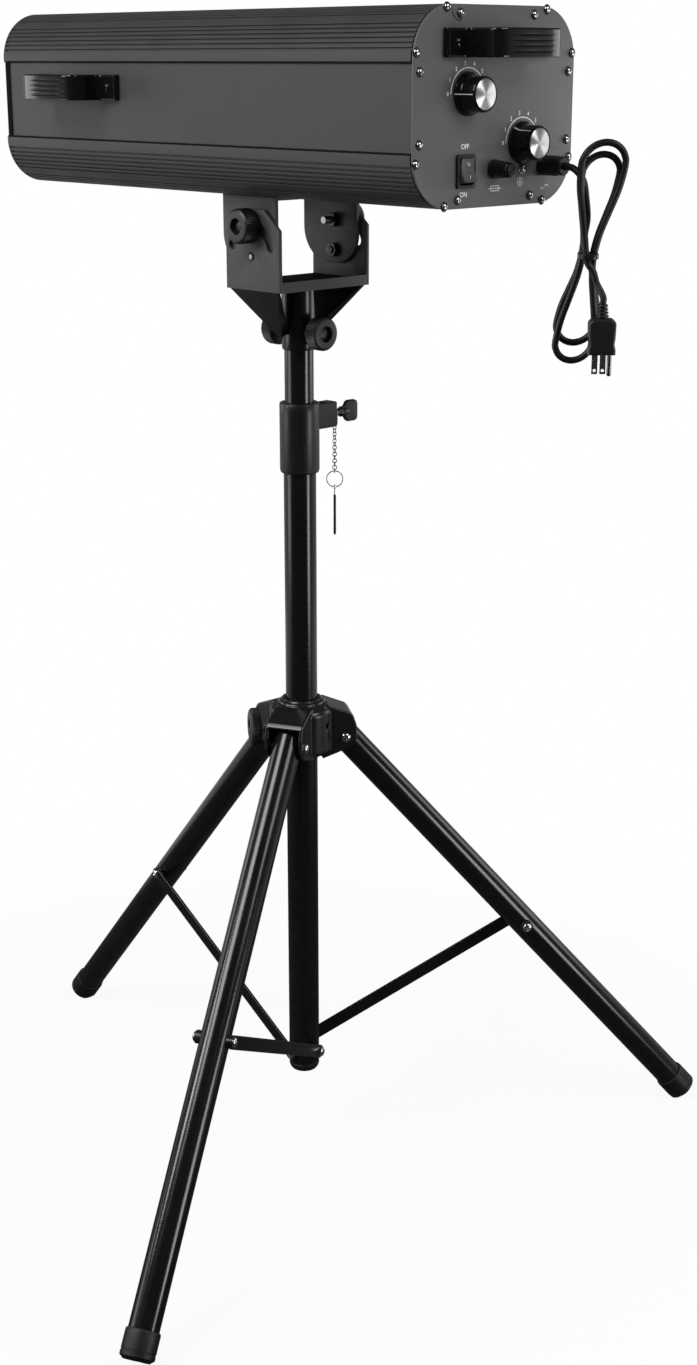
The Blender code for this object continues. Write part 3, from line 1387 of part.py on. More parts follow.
half_inside = [
    (0, crest),
    (0.4 * grip_outer, crest - 0.16 * handle_bow),
    (grip_outer - 1.4 * handle_bar, crest - 0.65 * handle_bow),
    (grip_outer - 0.77 * handle_bar, crest - handle_bow - 0.5 * handle_bar),
    (leg_outer - 1.15 * handle_bar, 1.2 * handle_foot_height),
    (leg_outer - 0.77 * handle_bar, FIT),
]
outer_left = [(-u, v) for u, v in reversed(half_outline) if u > 0]
inner_left = [(-u, v) for u, v in reversed(half_inside) if u > 0]
handle_outline = half_outline + outer_left + inner_left + half_inside
half_grip = handle_width / 2
rear_handle = place(
    "rear_handle",
    prism([(u, -v) for u, v in handle_outline], -half_grip, half_grip),
    lamp_axis,
    black_plastic,
    (0, lamp_rear, rear_handle_up),
)
side_handle = place(
    "side_handle",
    prism([(-v, u) for u, v in handle_outline], -half_grip, half_grip),
    lamp_axis,
    black_plastic,
    (-side_face, side_handle_forward, side_handle_up),
)
for handle in (rear_handle, side_handle):
    soften(handle, handle_edge, 1)

# Cord: a lead from the gland, a tied hank of two pinched loops, and a tail to the plug
across = np.array([math.cos(hank_heading), math.sin(hank_heading), 0])
outward = np.array([math.sin(hank_heading), -math.cos(hank_heading), 0])
upward = np.array([0, 0, 1.0])
gland_end = np.array([gland_at[0], lamp_rear - gland_length, gland_at[1]])
waist = gland_end + hank_across * across + hank_out * outward - hank_drop * upward


def in_hank(points):
    """Points given across, outward and up from the hank's waist, in the lamp's frame."""
    return [waist + p[0] * across + p[1] * outward + p[2] * upward for p in points]


def half_loop(height, radius, way, runs, bends, first_side):
    """One lobe from the waist out to its round end and back, as (across, up); way is +1 up or -1 down."""
    straight = height - radius
    run = []
    for k in range(runs):
        width = hank_waist + (radius - hank_waist) * 0.5 * (1 - math.cos(math.pi * k / runs))
        run.append((first_side * width, way * straight * k / runs))
    bend = []
    for k in range(bends + 1):
        angle = math.pi * k / bends
        bend.append((first_side * radius * math.cos(angle), way * (straight + radius * math.sin(angle))))
    return run + bend + [(-u, v) for u, v in reversed(run[1:])]


def smooth_through(points, spacing):
    """Points at about an even spacing on a smooth curve through the given ones."""
    given = [np.array(p, float) for p in points]
    padded = [2 * given[0] - given[1], *given, 2 * given[-1] - given[-2]]
    line = []
    for a, b, c, d in zip(padded, padded[1:], padded[2:], padded[3:]):
        count = max(1, round(np.linalg.norm(c - b) / spacing))
        for k in range(count):
            t = k / count
            slope = c - a
            bow = 2 * a - 5 * b + 4 * c - d
            twist = 3 * b - a - 3 * c + d
            line.append(b + 0.5 * (slope * t + bow * t**2 + twist * t**3))
    return [*line, given[-1]]


def dense(points, spacing=0.001):
    points = np.array(points)
    lengths = np.linalg.norm(np.diff(points, axis=0), axis=1)
    run = np.concatenate([[0], np.cumsum(lengths)])
    at = np.linspace(0, run[-1], int(run[-1] / spacing))
    return np.stack([np.interp(at, run, points[:, k]) for k in range(3)], 1), at


def least_gap(points):
    """The least gap between stretches of one tube that lie over six diameters apart along it."""
    line, at = dense(points)
    apart = np.linalg.norm(line[:, None] - line[None], axis=2)
    apart[np.abs(at[:, None] - at[None]) < 12 * cord_radius] = 1.0
    return apart.min() - 2 * cord_radius


def cord_piece(name, points, resolution):
    data = bpy.data.curves.new(name, "CURVE")
    data.dimensions = "3D"
    data.bevel_depth = cord_radius
    data.bevel_resolution = resolution
    data.use_fill_caps = True
    line = data.splines.new("POLY")
    line.points.add(len(points) - 1)
    for target, point in zip(line.points, points):
        target.co = (*point, 1.0)
    data.materials.append(cord_rubber)
    piece = bpy.data.objects.new(name, data)
    bpy.context.scene.collection.objects.link(piece)
    piece.parent = lamp_axis
    return piece


flat = []
for k in range(hank_turns):
    flat += half_loop(lower_lobe_heights[k], lower_lobe_radii[k], -1, 4, 8, -1)
    flat += half_loop(upper_lobe_heights[k], upper_lobe_radii[k], 1, 4, 8, 1)
loop_points = len(flat) // hank_turns
start_out = -hank_pitch
hank_route = []
for k, (u, v) in enumerate(flat):
    hank_route.append((u + hank_lean * v, start_out + hank_pitch * k / loop_points, v))
lead_in = (hank_route[0][0] + hank_lean * 0.014, start_out, 0.014)
end_out = start_out + hank_pitch * hank_turns
crossing = [
    (-0.35 * hank_waist, end_out + 0.35 * hank_pitch, -0.004),
    (0.75 * hank_waist, end_out + 0.6 * hank_pitch, -0.013),
]
tail_start = (1.25 * hank_waist, end_out + 0.75 * hank_pitch, -0.021)
hank_points = in_hank([lead_in, *hank_route, *crossing, tail_start])
cord_piece("cord_hank", hank_points, 1)

tube_end = np.array([0, -1.0, 0])
cord_start = gland_end - gland_depth * tube_end
lead_direction = hank_points[0] - hank_points[1]
lead_direction = lead_direction / np.linalg.norm(lead_direction)
lead_end = hank_points[0] + FIT * lead_direction
lead_route = [
    cord_start,
    gland_end + 0.002 * tube_end,
    gland_end + 0.013 * tube_end - 0.0025 * upward,
    gland_end + 0.0225 * tube_end + 0.0008 * across - 0.0125 * upward,
    gland_end + 0.0262 * tube_end + 0.001 * across - 0.028 * upward,
    lead_end + 0.020 * lead_direction,
    lead_end + 2 * cord_radius * lead_direction,
    lead_end,
]
lead_points = smooth_through(lead_route, 0.006)
cord_piece("cord_lead", lead_points, 2)

plug_top = in_hank([(plug_across, plug_out, -plug_drop)])[0]
tail_direction = hank_points[-1] - hank_points[-2]
tail_direction = tail_direction / np.linalg.norm(tail_direction)
tail_begin = hank_points[-1] + FIT * tail_direction
tail_finish = plug_top + FIT * upward
tail_route = [
    tail_begin,
    tail_begin + 0.004 * tail_direction,
    tail_finish + 2 * cord_radius * upward,
    tail_finish,
]
tail_points = smooth_through(tail_route, 0.006)
cord_piece("cord_tail", tail_points, 2)

# Plug: ribbed strain relief, moulded body, two blades and a ground pin, hanging with its pins down
plug_axis = empty("plug_axis", lamp_axis, plug_top, hank_heading)
relief_groove = 0.2 * relief_radius
relief_profile = [(0, 0), (0.9 * relief_radius, 0)]
for k in range(relief_rings):
    ring_level = -relief_groove - k * relief_pitch
    ring_out = relief_radius + 0.4 * k * relief_groove
    relief_profile += [
        (ring_out, ring_level),
        (ring_out, ring_level - 0.62 * relief_pitch),
        (ring_out - relief_groove, ring_level - 0.64 * relief_pitch),
        (ring_out - relief_groove, ring_level - 0.97 * relief_pitch),
    ]
relief_end = -relief_length - 2 * relief_groove
relief_base = 1.2 * relief_radius
relief_profile += [(relief_base, -relief_length), (relief_base, relief_end), (0, relief_end)]
plug = place("plug", turned(relief_profile, steps=SMALL_ROUND), plug_axis, black_plastic)
half_plug = [
    (0.58 * plug_half_width, -relief_length),
    (0.85 * plug_half_width, -relief_length - 0.12 * plug_length),
    (plug_half_width, -relief_length - 0.35 * plug_length),
    (plug_half_width, -relief_length - plug_length),
]
plug_outline = half_plug + [(-u, v) for u, v in reversed(half_plug)]
plug_body = tool("plug_body", prism(plug_outline, -plug_half_depth, plug_half_depth, "Y"), plug_axis)
soften(plug_body, plug_edge, 1)
join(plug, plug_body)
plug_face = -relief_length - plug_length + weld_depth
half_blade = blade_thickness / 2
for k, x in enumerate(blade_places):
    blade_low = (x - blade_half_width, blade_row - half_blade, plug_face - blade_length)
    blade_high = (x + blade_half_width, blade_row + half_blade, plug_face)
    join(plug, tool(f"plug_blade_{k + 1}", block(blade_low, blade_high), plug_axis))
ground = rod(ground_radius, plug_face - ground_length, plug_face, "Z", 12)
join(plug, tool("plug_ground", moved(ground, (*ground_at, 0)), plug_axis))

cord_line = np.concatenate([dense(lead_points)[0], dense(hank_points)[0], dense(tail_points)[0]])
cord_length = np.linalg.norm(np.diff(cord_line, axis=0), axis=1).sum()
print(f"hank's least gap to itself {1000 * least_gap(hank_points):.2f} mm")
whole_gap = least_gap([*lead_points, *hank_points, *tail_points])
print(f"hank's least gap with its lead {1000 * whole_gap:.2f} mm")
print(f"cord length {cord_length:.4f} m")

# The bottom centre of everything but the cord goes to the origin
cord_names = ("cord_lead", "cord_hank", "cord_tail", "plug")
bpy.context.view_layer.update()
graph = bpy.context.evaluated_depsgraph_get()
spans = []
for piece in bpy.context.scene.objects:
    if piece.type != "MESH" or piece.hide_render or piece.name in cord_names:
        continue
    shown = piece.evaluated_get(graph)
    points = np.empty(3 * len(shown.data.vertices))
    shown.data.vertices.foreach_get("co", points)
    turn = np.array(shown.matrix_world)
    points = points.reshape(-1, 3) @ turn[:3, :3].T + turn[:3, 3]
    spans += [points.min(axis=0), points.max(axis=0)]
lowest = np.min(spans, axis=0)
highest = np.max(spans, axis=0)
root.location = (-(lowest[0] + highest[0]) / 2, -(lowest[1] + highest[1]) / 2, -lowest[2])
print("mast axis at", [round(value, 6) for value in root.location])
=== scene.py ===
from math import atan2, cos, hypot, pi, radians, sin

import bmesh
import bpy
import numpy as np
from mathutils import Matrix, Vector


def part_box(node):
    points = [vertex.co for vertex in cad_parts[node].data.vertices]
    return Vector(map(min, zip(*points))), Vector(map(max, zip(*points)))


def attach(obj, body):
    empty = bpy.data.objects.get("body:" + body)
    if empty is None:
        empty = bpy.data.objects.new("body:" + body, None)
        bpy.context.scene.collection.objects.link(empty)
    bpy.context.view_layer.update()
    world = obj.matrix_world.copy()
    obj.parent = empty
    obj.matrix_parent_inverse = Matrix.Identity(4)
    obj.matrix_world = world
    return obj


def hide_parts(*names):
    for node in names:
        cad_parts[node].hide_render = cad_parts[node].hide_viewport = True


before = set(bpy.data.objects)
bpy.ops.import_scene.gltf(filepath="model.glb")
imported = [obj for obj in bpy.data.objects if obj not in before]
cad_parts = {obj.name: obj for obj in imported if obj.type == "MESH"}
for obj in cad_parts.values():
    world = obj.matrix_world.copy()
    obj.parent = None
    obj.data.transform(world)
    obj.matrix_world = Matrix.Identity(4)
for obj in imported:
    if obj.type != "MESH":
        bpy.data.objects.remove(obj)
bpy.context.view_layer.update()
scene = bpy.context.scene
scene.view_settings.view_transform = "Standard"

# Shapes are written in millimetres; the camera, the floor and the lamps are in metres
MM = 0.001
METRES = Matrix.Scale(MM, 4)


def at(x, y, z):
    return Matrix.Translation((x, y, z))


def spin(angle, axis="Z"):
    return Matrix.Rotation(angle, 4, axis)


# Frames of the part, from its nodes and the sizes of its source
tube_low, tube_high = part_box("upper_tube")
plate_low, plate_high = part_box("rear_plate")
mast_x = (tube_low.x + tube_high.x) / 2 / MM
mast_y = (tube_low.y + tube_high.y) / 2 / MM
MAST = at(mast_x, mast_y, 0)
LAMP = at(mast_x, mast_y, (plate_low.z + plate_high.z) / 2 / MM)
YOKE_HEIGHT = 996
HUB_HEIGHT = 502
TILT_PIVOT = (2, 34)
YOKE = MAST @ at(0, 0, YOKE_HEIGHT)
HEAD = YOKE @ at(0, *TILT_PIVOT)
HUB = MAST @ at(0, 0, HUB_HEIGHT)
LEG_HEADINGS = [radians(angle) for angle in (87.17, 206.88, -33.63)]
LEG_LEAN = radians(40.87)
HUB_REACH = 46
LEGS = [HUB @ spin(h) @ at(HUB_REACH, 0, 0) @ spin(-LEG_LEAN, "Y") for h in LEG_HEADINGS]
ARMS = [HUB @ spin(h) for h in LEG_HEADINGS]
BRACE_ALONG_LEG = 330
BRACE_FOOT = 108
BRACE_BOLT = (5.5, 3.6)
brace_reach = HUB_REACH + BRACE_ALONG_LEG * sin(LEG_LEAN)
brace_rise = HUB_HEIGHT - BRACE_ALONG_LEG * cos(LEG_LEAN) - BRACE_FOOT
BRACE_LENGTH = hypot(brace_reach, brace_rise)
BRACE_FEET = [MAST @ at(0, 0, BRACE_FOOT) @ spin(h) for h in LEG_HEADINGS]
BRACES = [foot @ spin(-atan2(brace_rise, brace_reach), "Y") for foot in BRACE_FEET]
LAMP_REAR = -270.4
LAMP_FRONT = 356.1
HALF_WIDTH = 109
HALF_HEIGHT = 88.8
CORNER = 47.3
SIDE_FACE = 107
SIDE_SEAM = 40
TOP_SEAM = 58
RAIL_WALL = 3
PANEL_WALL = 2
FIT = 0.3

# Camera at the photograph's place and angle
IMAGE_SIZE = (697, 1365)
FOCAL_PIXELS = 1945
SENSOR = 36
CAMERA_FROM_MAST = (-1.3887, -1.5173)
CAMERA_HEIGHT = 1.22155
CAMERA_PITCH = radians(17.78)
CAMERA_HEADING = radians(-43.92)
camera_data = bpy.data.cameras.new("camera")
camera_data.sensor_width = SENSOR
camera_data.lens = FOCAL_PIXELS / max(IMAGE_SIZE) * SENSOR
camera_data.clip_end = 100
camera = bpy.data.objects.new("camera", camera_data)
scene.collection.objects.link(camera)
camera.location = (MM * mast_x + CAMERA_FROM_MAST[0], MM * mast_y + CAMERA_FROM_MAST[1], CAMERA_HEIGHT)
camera.rotation_euler = (pi / 2 - CAMERA_PITCH, 0, CAMERA_HEADING)
scene.camera = camera


# Materials
def feed(tree, value, socket):
    """Links a node's output to a socket, or sets the socket to a plain value."""
    if isinstance(value, bpy.types.NodeSocket):
        tree.links.new(value, socket)
    else:
        socket.default_value = value


def new_node(tree, kind, **values):
    made = tree.nodes.new(kind)
    for name, value in values.items():
        feed(tree, value, made.inputs[name.replace("_", " ")])
    return made


def computed(tree, operation, *values, kind="ShaderNodeMath"):
    made = tree.nodes.new(kind)
    made.operation = operation
    for value, socket in zip(values, made.inputs):
        feed(tree, value, socket)
    return made.outputs


def ranged(tree, value, start, end, low, high, smooth=False):
    """Maps a value from the range start to end onto the range low to high."""
    made = tree.nodes.new("ShaderNodeMapRange")
    if smooth:
        made.interpolation_type = "SMOOTHSTEP"
    for given, socket in zip((value, start, end, low, high), made.inputs):
        feed(tree, given, socket)
    return made.outputs["Result"]


def noise(tree, scale, detail):
    place = tree.nodes.new("ShaderNodeTexCoord").outputs["Object"]
    return new_node(tree, "ShaderNodeTexNoise", Vector=place, Scale=scale, Detail=detail).outputs["Fac"]


BLUE = 1.02
PATCH_RANGE = (0.3, 0.7)


def finish(
    name, slot, grey, roughness, metallic=0, grain=1200, relief=0.03, spread=0.15, gloss=0.06, patches=16,
    **sockets,
):
    """A painted, moulded or metal surface: fine grain in relief, slow patches in its colour and gloss."""
    made = bpy.data.materials.new(name)
    made.use_nodes = True
    tree = made.node_tree
    fine = noise(tree, grain, 4.0)
    slow = noise(tree, patches, 5.0)
    both = computed(tree, "MULTIPLY_ADD", fine, 0.5, computed(tree, "MULTIPLY", slow, 0.5)[0])[0]
    ramp = new_node(tree, "ShaderNodeValToRGB", Fac=both)
    for stop, position, share in zip(ramp.color_ramp.elements, PATCH_RANGE, (1 - spread, 1 + spread)):
        stop.position = position
        stop.color = (*(min(1, share * part) for part in (grey, grey, BLUE * grey)), 1)
    bump = new_node(tree, "ShaderNodeBump", Strength=1.0, Distance=MM * relief, Height=fine)
    sockets["Base_Color"] = ramp.outputs["Color"]
    sockets["Metallic"] = metallic
    sockets["Roughness"] = ranged(tree, slow, *PATCH_RANGE, max(0.02, roughness - gloss), roughness + gloss)
    sockets["Normal"] = bump.outputs["Normal"]
    for socket, value in sockets.items():
        feed(tree, value, tree.nodes["Principled BSDF"].inputs[socket.replace("_", " ")])
    return made


housing_paint = finish("housing_satin", "housing_paint", 0.040, 0.46, 0, 1500, 0.02, Specular_IOR_Level=0.3)
plate_paint = finish("plate_satin", "plate_paint", 0.088, 0.46, 0, 1700, 0.02, 0.1)
bracket_paint = finish("bracket_satin", "bracket_paint", 0.058, 0.46, 0, 900, 0.02, Specular_IOR_Level=0.25)
tube_paint = finish("tube_gloss", "tube_paint", 0.006, 0.18, 0, 160, 0, 0.3, 0.02)
hub_paint = finish("hub_gloss", "bracket_paint", 0.008, 0.25, 0, 420, 0.006, 0.25)
gloss_black = finish("gloss_black", "black_plastic", 0.006, 0.12, 0, 300, 0.006, 0.3, 0.04)
satin_black = finish("satin_black", "black_plastic", 0.008, 0.36, 0, 1300, 0.04)
knob_black = finish("knob_black", "black_plastic", 0.011, 0.44, 0, 1000, 0.04, 0.25)
rocker_grey = finish("rocker_grey", "grey_plastic", 0.075, 0.4, 0, 1600, 0.02)
foot_rubber = finish("foot_rubber", "rubber", 0.004, 0.5, 0, 700, 0.08, 0.3)
cord_jacket = finish("cord_jacket", "cord_rubber", 0.005, 0.45, 0, 900, 0.03, 0.3)
# Near-black finish for painted shade: the dark strips in the housing's seams and the sheet on the yoke's
# base
painted_shade_black = finish("painted_shade_black", "rubber", 0.003, 0.8, Specular_IOR_Level=0.1)
plug_rubber = finish("plug_rubber", "black_plastic", 0.009, 0.42, 0, 1100, 0.04)
chrome = finish("bright_chrome", "steel", 0.72, 0.14, 1, 400, 0.004, 0.08, 0.05)
zinc = finish("zinc_steel", "steel", 0.62, 0.28, 1, 500, 0.01, gloss=0.08)
dark_nickel = finish("dark_nickel", "steel", 0.16, 0.2, 1, 400, 0.004, gloss=0.05)
sheet_steel = finish("sheet_steel", "steel", 0.5, 0.4, 1, 300, 0.01, patches=60)
bright_aluminium = finish("bright_aluminium", "aluminium", 0.8, 0.18, 1, 300, 0.005, 0.06)
white_print = finish("white_print", "black_plastic", 0.82, 0.5, 0, 2500, 0.01, 0.06)
lens_glass = finish(
    "lens_glass", "glass", 0.96, 0.03, 0, 60, 0.002, 0.02, 0.01, Transmission_Weight=1, IOR=1.5
)
lamp_quartz = finish(
    "lamp_quartz", "glass", 0.9, 0.06, 0, 200, 0.005, 0.05, 0.02, Transmission_Weight=0.9, IOR=1.46
)
spun_aluminium = finish(
    "spun_aluminium", "aluminium", 0.7, 0.36, 1, 900, 0.004, 0.05,
    Anisotropic=0.85, Anisotropic_Rotation=0.25,
)
tree = spun_aluminium.node_tree
tangent = tree.nodes.new("ShaderNodeTangent")
tangent.direction_type = "RADIAL"
tangent.axis = "Y"
feed(tree, tangent.outputs["Tangent"], tree.nodes["Principled BSDF"].inputs["Tangent"])


# Shapes
ROUND = 64
FACING = {
    "X": spin(pi / 2, "Y"),
    "Y": spin(-pi / 2, "X"),
    "-Y": spin(pi / 2, "X"),
    "Z": Matrix.Identity(4),
}
ORDERS = {"X": (2, 0, 1), "Y": (0, 2, 1), "Z": (0, 1, 2)}


def closed(shape):
    """The shape with all its faces turned outward."""
    bmesh.ops.recalc_face_normals(shape, faces=shape.faces)
    return shape


def turned(profile, along="Z", steps=ROUND, ring=False, ribs=0):
    """Turns (radius, height) points about an axis. A third number is how deep the ribs cut in there."""
    shape = bmesh.new()
    circles = []
    for radius, height, *depth in profile:
        if radius < 1e-9:
            circles.append([shape.verts.new((0, 0, height))])
            continue
        circle = []
        for k in range(steps):
            angle = 2 * pi * k / steps
            reach = radius - depth[0] * (0.5 - 0.5 * cos(ribs * angle)) if depth else radius
            circle.append(shape.verts.new((reach * cos(angle), reach * sin(angle), height)))
        circles.append(circle)
    pairs = list(zip(circles, circles[1:]))
    if ring:
        pairs.append((circles[-1], circles[0]))
    for low, high in pairs:
        for k in range(steps):
            n = k + 1
            corners = [low[k % len(low)], low[n % len(low)], high[n % len(high)], high[k % len(high)]]
            corners = list(dict.fromkeys(corners))
            if len(corners) > 2:
                shape.faces.new(corners)
    shape.transform(FACING[along])
    return closed(shape)


def rod(radius, low, high, along="Z", steps=ROUND):
    return turned([(0, low), (radius, low), (radius, high), (0, high)], along, steps)


def tube(outer, inner, low, high, edge=0.4):
    profile = [
        (inner, low), (outer - edge, low), (outer, low + edge), (outer, high - edge),
        (outer - edge, high), (inner, high),
    ]
    return turned(profile, ring=True)


def prism(outline, low, high, along="Z"):
    """Extrudes an outline: (x, y) along Z, (y, z) along X, or (x, z) along Y."""
    shape = bmesh.new()
    ends = []
    for level in (low, high):
        points = [(u, v, level) for u, v in outline]
        ends.append([shape.verts.new([p[k] for k in ORDERS[along]]) for p in points])
    bottom, top = ends
    shape.faces.new(bottom)
    shape.faces.new(top)
    for k in range(len(outline)):
        shape.faces.new((bottom[k - 1], bottom[k], top[k], top[k - 1]))
    return closed(shape)


def from_mesh(mesh):
    shape = bmesh.new()
    shape.from_mesh(mesh)
    bpy.data.meshes.remove(mesh)
    return shape


def from_curve(data):
    helper = bpy.data.objects.new("helper", data)
    shape = from_mesh(bpy.data.meshes.new_from_object(helper))
    bpy.data.objects.remove(helper)
    bpy.data.curves.remove(data)
    return shape


def plate(outlines, low, high, along="Z", edge=0.4, steps=2):
    """A flat plate with rounded edges: the first outline is its rim, and the others are holes."""
    data = bpy.data.curves.new("plate", "CURVE")
    data.dimensions = "2D"
    data.fill_mode = "BOTH"
    data.extrude = (high - low) / 2 - edge
    data.bevel_depth = edge
    data.bevel_resolution = steps
    data.offset = -edge
    for outline in outlines:
        line = data.splines.new("POLY")
        line.points.add(len(outline) - 1)
        for target, (u, v) in zip(line.points, outline):
            target.co = (u, v, 0, 1)
        line.use_cyclic_u = True
    shape = from_curve(data)
    bmesh.ops.remove_doubles(shape, verts=shape.verts, dist=0.001)
    for vertex in shape.verts:
        place = (vertex.co.x, vertex.co.y, vertex.co.z + (low + high) / 2)
        vertex.co = [place[k] for k in ORDERS[along]]
    return closed(shape)


def block(low, high, edge=0.4):
    outline = [(low[0], low[1]), (high[0], low[1]), (high[0], high[1]), (low[0], high[1])]
    return plate([outline], low[2], high[2], "Z", edge)


def hull(points):
    shape = bmesh.new()
    for point in points:
        shape.verts.new(point)
    bmesh.ops.convex_hull(shape, input=shape.verts)
    return closed(shape)


def moved(shape, matrix):
    shape.transform(matrix)
    if matrix.determinant() < 0:
        bmesh.ops.reverse_faces(shape, faces=shape.faces)
    return shape


def together(*shapes):
    whole = bmesh.new()
    for shape in shapes:
        mesh = bpy.data.meshes.new("part")
        shape.to_mesh(mesh)
        shape.free()
        whole.from_mesh(mesh)
        bpy.data.meshes.remove(mesh)
    return whole


def copies(shape, matrices):
    made = together(*[moved(shape.copy(), matrix) for matrix in matrices])
    shape.free()
    return made


def helper_of(shape):
    mesh = bpy.data.meshes.new("helper")
    shape.to_mesh(mesh)
    shape.free()
    made = bpy.data.objects.new("helper", mesh)
    scene.collection.objects.link(made)
    return made


def carved(base, joins=(), cuts=(), voxel=0.0, rounds=0):
    """Joins and cuts shapes. A voxel size rounds every edge, as on a casting."""
    target = helper_of(base)
    helpers = []
    for operation, shapes in (("UNION", joins), ("DIFFERENCE", cuts)):
        for shape in shapes:
            helpers.append(helper_of(shape))
            modifier = target.modifiers.new(operation, "BOOLEAN")
            modifier.operation = operation
            modifier.solver = "EXACT"
            modifier.object = helpers[-1]
    if voxel:
        modifier = target.modifiers.new("voxels", "REMESH")
        modifier.mode = "VOXEL"
        modifier.voxel_size = voxel
        modifier = target.modifiers.new("rounded", "SMOOTH")
        modifier.factor = 0.5
        modifier.iterations = rounds
    graph = bpy.context.evaluated_depsgraph_get()
    shape = from_mesh(bpy.data.meshes.new_from_object(target.evaluated_get(graph)))
    for made in (target, *helpers):
        bpy.data.meshes.remove(made.data)
    return shape


def piece(name, shape, body, look, stands_for=(), place=Matrix.Identity(4), smooth=35):
    """Makes an object that rides on a body, and hides the nodes that it stands for."""
    moved(shape, METRES @ place)
    mesh = bpy.data.meshes.new(name)
    shape.to_mesh(mesh)
    shape.free()
    mesh.shade_smooth()
    mesh.set_sharp_from_angle(angle=radians(smooth))
    mesh.materials.append(look)
    made = bpy.data.objects.new(name, mesh)
    scene.collection.objects.link(made)
    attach(made, body)
    if stands_for:
        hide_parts(*stands_for)
    return made


def arc(centre, radius, start, end, steps):
    angles = [start + (end - start) * k / steps for k in range(steps + 1)]
    return [(centre[0] + radius * cos(a), centre[1] + radius * sin(a)) for a in angles]


def circle(centre, radius, steps=40):
    return arc(centre, radius, 0, 2 * pi, steps)[:-1]


def rounded_rectangle(width, height, radius, steps=8):
    outline = []
    for k, (across, up) in enumerate(((1, 1), (-1, 1), (-1, -1), (1, -1))):
        centre = (across * (width / 2 - radius), up * (height / 2 - radius))
        outline += arc(centre, radius, k * pi / 2, (k + 1) * pi / 2, steps)
    return outline


def stadium(length, radius, steps=16):
    first_end = arc((0, 0), radius, pi / 2, 3 * pi / 2, steps)
    return first_end + arc((length, 0), radius, -pi / 2, pi / 2, steps)


def shifted(outline, offset):
    return [(u + offset[0], v + offset[1]) for u, v in outline]


def wire_loop(length, width, wire, heading, height, sides=10, bend=14):
    """A closed upright loop of round wire; length and width are to the wire's middle."""
    half = width / 2
    straight = length / 2 - half
    route = arc((0, straight), half, 0, pi, bend) + arc((0, -straight), half, pi, 2 * pi, bend)
    if straight < 1e-9:
        route = arc((0, 0), half, 0, 2 * pi, 2 * bend)[:-1]
    shape = bmesh.new()
    rings = []
    across = Vector((cos(heading), sin(heading), 0))
    aside = Vector((-sin(heading), cos(heading), 0))
    for u, v in route:
        centre = across * u + Vector((0, 0, height + v))
        outward = (centre - Vector((0, 0, height + max(-straight, min(straight, v))))).normalized()
        angles = [2 * pi * k / sides for k in range(sides)]
        rings.append([shape.verts.new(centre + wire * (outward * cos(a) + aside * sin(a))) for a in angles])
    for k in range(len(rings)):
        for j in range(sides):
            n = (j + 1) % sides
            shape.faces.new((rings[k - 1][j], rings[k - 1][n], rings[k][n], rings[k][j]))
    return closed(shape)


def smooth_through(points, spacing):
    """Points at about an even spacing on a smooth curve through the given ones."""
    given = [np.array(p, float) for p in points]
    padded = [2 * given[0] - given[1], *given, 2 * given[-1] - given[-2]]
    line = []
    for a, b, c, d in zip(padded, padded[1:], padded[2:], padded[3:]):
        count = max(1, round(np.linalg.norm(c - b) / spacing))
        for k in range(count):
            t = k / count
            bend = (2 * a - 5 * b + 4 * c - d) * t**2 + (3 * b - a - 3 * c + d) * t**3
            line.append(0.5 * (2 * b + (c - a) * t + bend))
    return [*line, given[-1]]


# Cord: out of the gland, through a tied hank of two pinched loops, to the hanging plug
CORD_RADIUS = 3.25
GLAND_AT = (68, -54)
GLAND_LENGTH = 27
HANK_HEADING = radians(-43.92)
HANK_LEAN = 0.13
HANK_PITCH = 7.4
HANK_WAIST = 5.2
HANK_TURNS = 2
UPPER_HEIGHTS = (92, 103)
UPPER_RADII = (17.5, 20.5)
LOWER_HEIGHTS = (82, 98)
LOWER_RADII = (18.5, 17.5)
lamp_at = np.array(LAMP.translation)
across = np.array([cos(HANK_HEADING), sin(HANK_HEADING), 0])
outward = np.array([sin(HANK_HEADING), -cos(HANK_HEADING), 0])
upward = np.array([0, 0, 1.0])
gland_end = lamp_at + np.array([GLAND_AT[0], LAMP_REAR - GLAND_LENGTH, GLAND_AT[1]])
waist = gland_end + 22 * across + 24.5 * outward - 80 * upward


def in_hank(points):
    return [waist + p[0] * across + p[1] * outward + p[2] * upward for p in points]


def half_loop(height, radius, way, runs, bends, first_side):
    """One lobe from the waist out to its round end and back, as (across, up); way is +1 up or -1 down."""
    straight = height - radius
    run = []
    for k in range(runs):
        width = HANK_WAIST + (radius - HANK_WAIST) * 0.5 * (1 - cos(pi * k / runs))
        run.append((first_side * width, way * straight * k / runs))
    bend = []
    for k in range(bends + 1):
        angle = pi * k / bends
        bend.append((first_side * radius * cos(angle), way * (straight + radius * sin(angle))))
    return run + bend + [(-u, v) for u, v in reversed(run[1:])]


flat = []
for k in range(HANK_TURNS):
    flat += half_loop(LOWER_HEIGHTS[k], LOWER_RADII[k], -1, 4, 8, -1)
    flat += half_loop(UPPER_HEIGHTS[k], UPPER_RADII[k], 1, 4, 8, 1)
loop_points = len(flat) // HANK_TURNS
hank_route = [(u + HANK_LEAN * v, HANK_PITCH * (k / loop_points - 1), v) for k, (u, v) in enumerate(flat)]
end_out = HANK_PITCH * (HANK_TURNS - 1)
hank_points = in_hank(
    [
        (hank_route[0][0] + HANK_LEAN * 14, -HANK_PITCH, 14),
        *hank_route,
        (-0.35 * HANK_WAIST, end_out + 0.35 * HANK_PITCH, -4),
        (0.75 * HANK_WAIST, end_out + 0.6 * HANK_PITCH, -13),
        (1.25 * HANK_WAIST, end_out + 0.75 * HANK_PITCH, -21),
    ]
)
tube_end = np.array([0, -1.0, 0])
lead_direction = (hank_points[0] - hank_points[1]) / np.linalg.norm(hank_points[0] - hank_points[1])
lead_end = hank_points[0] + FIT * lead_direction
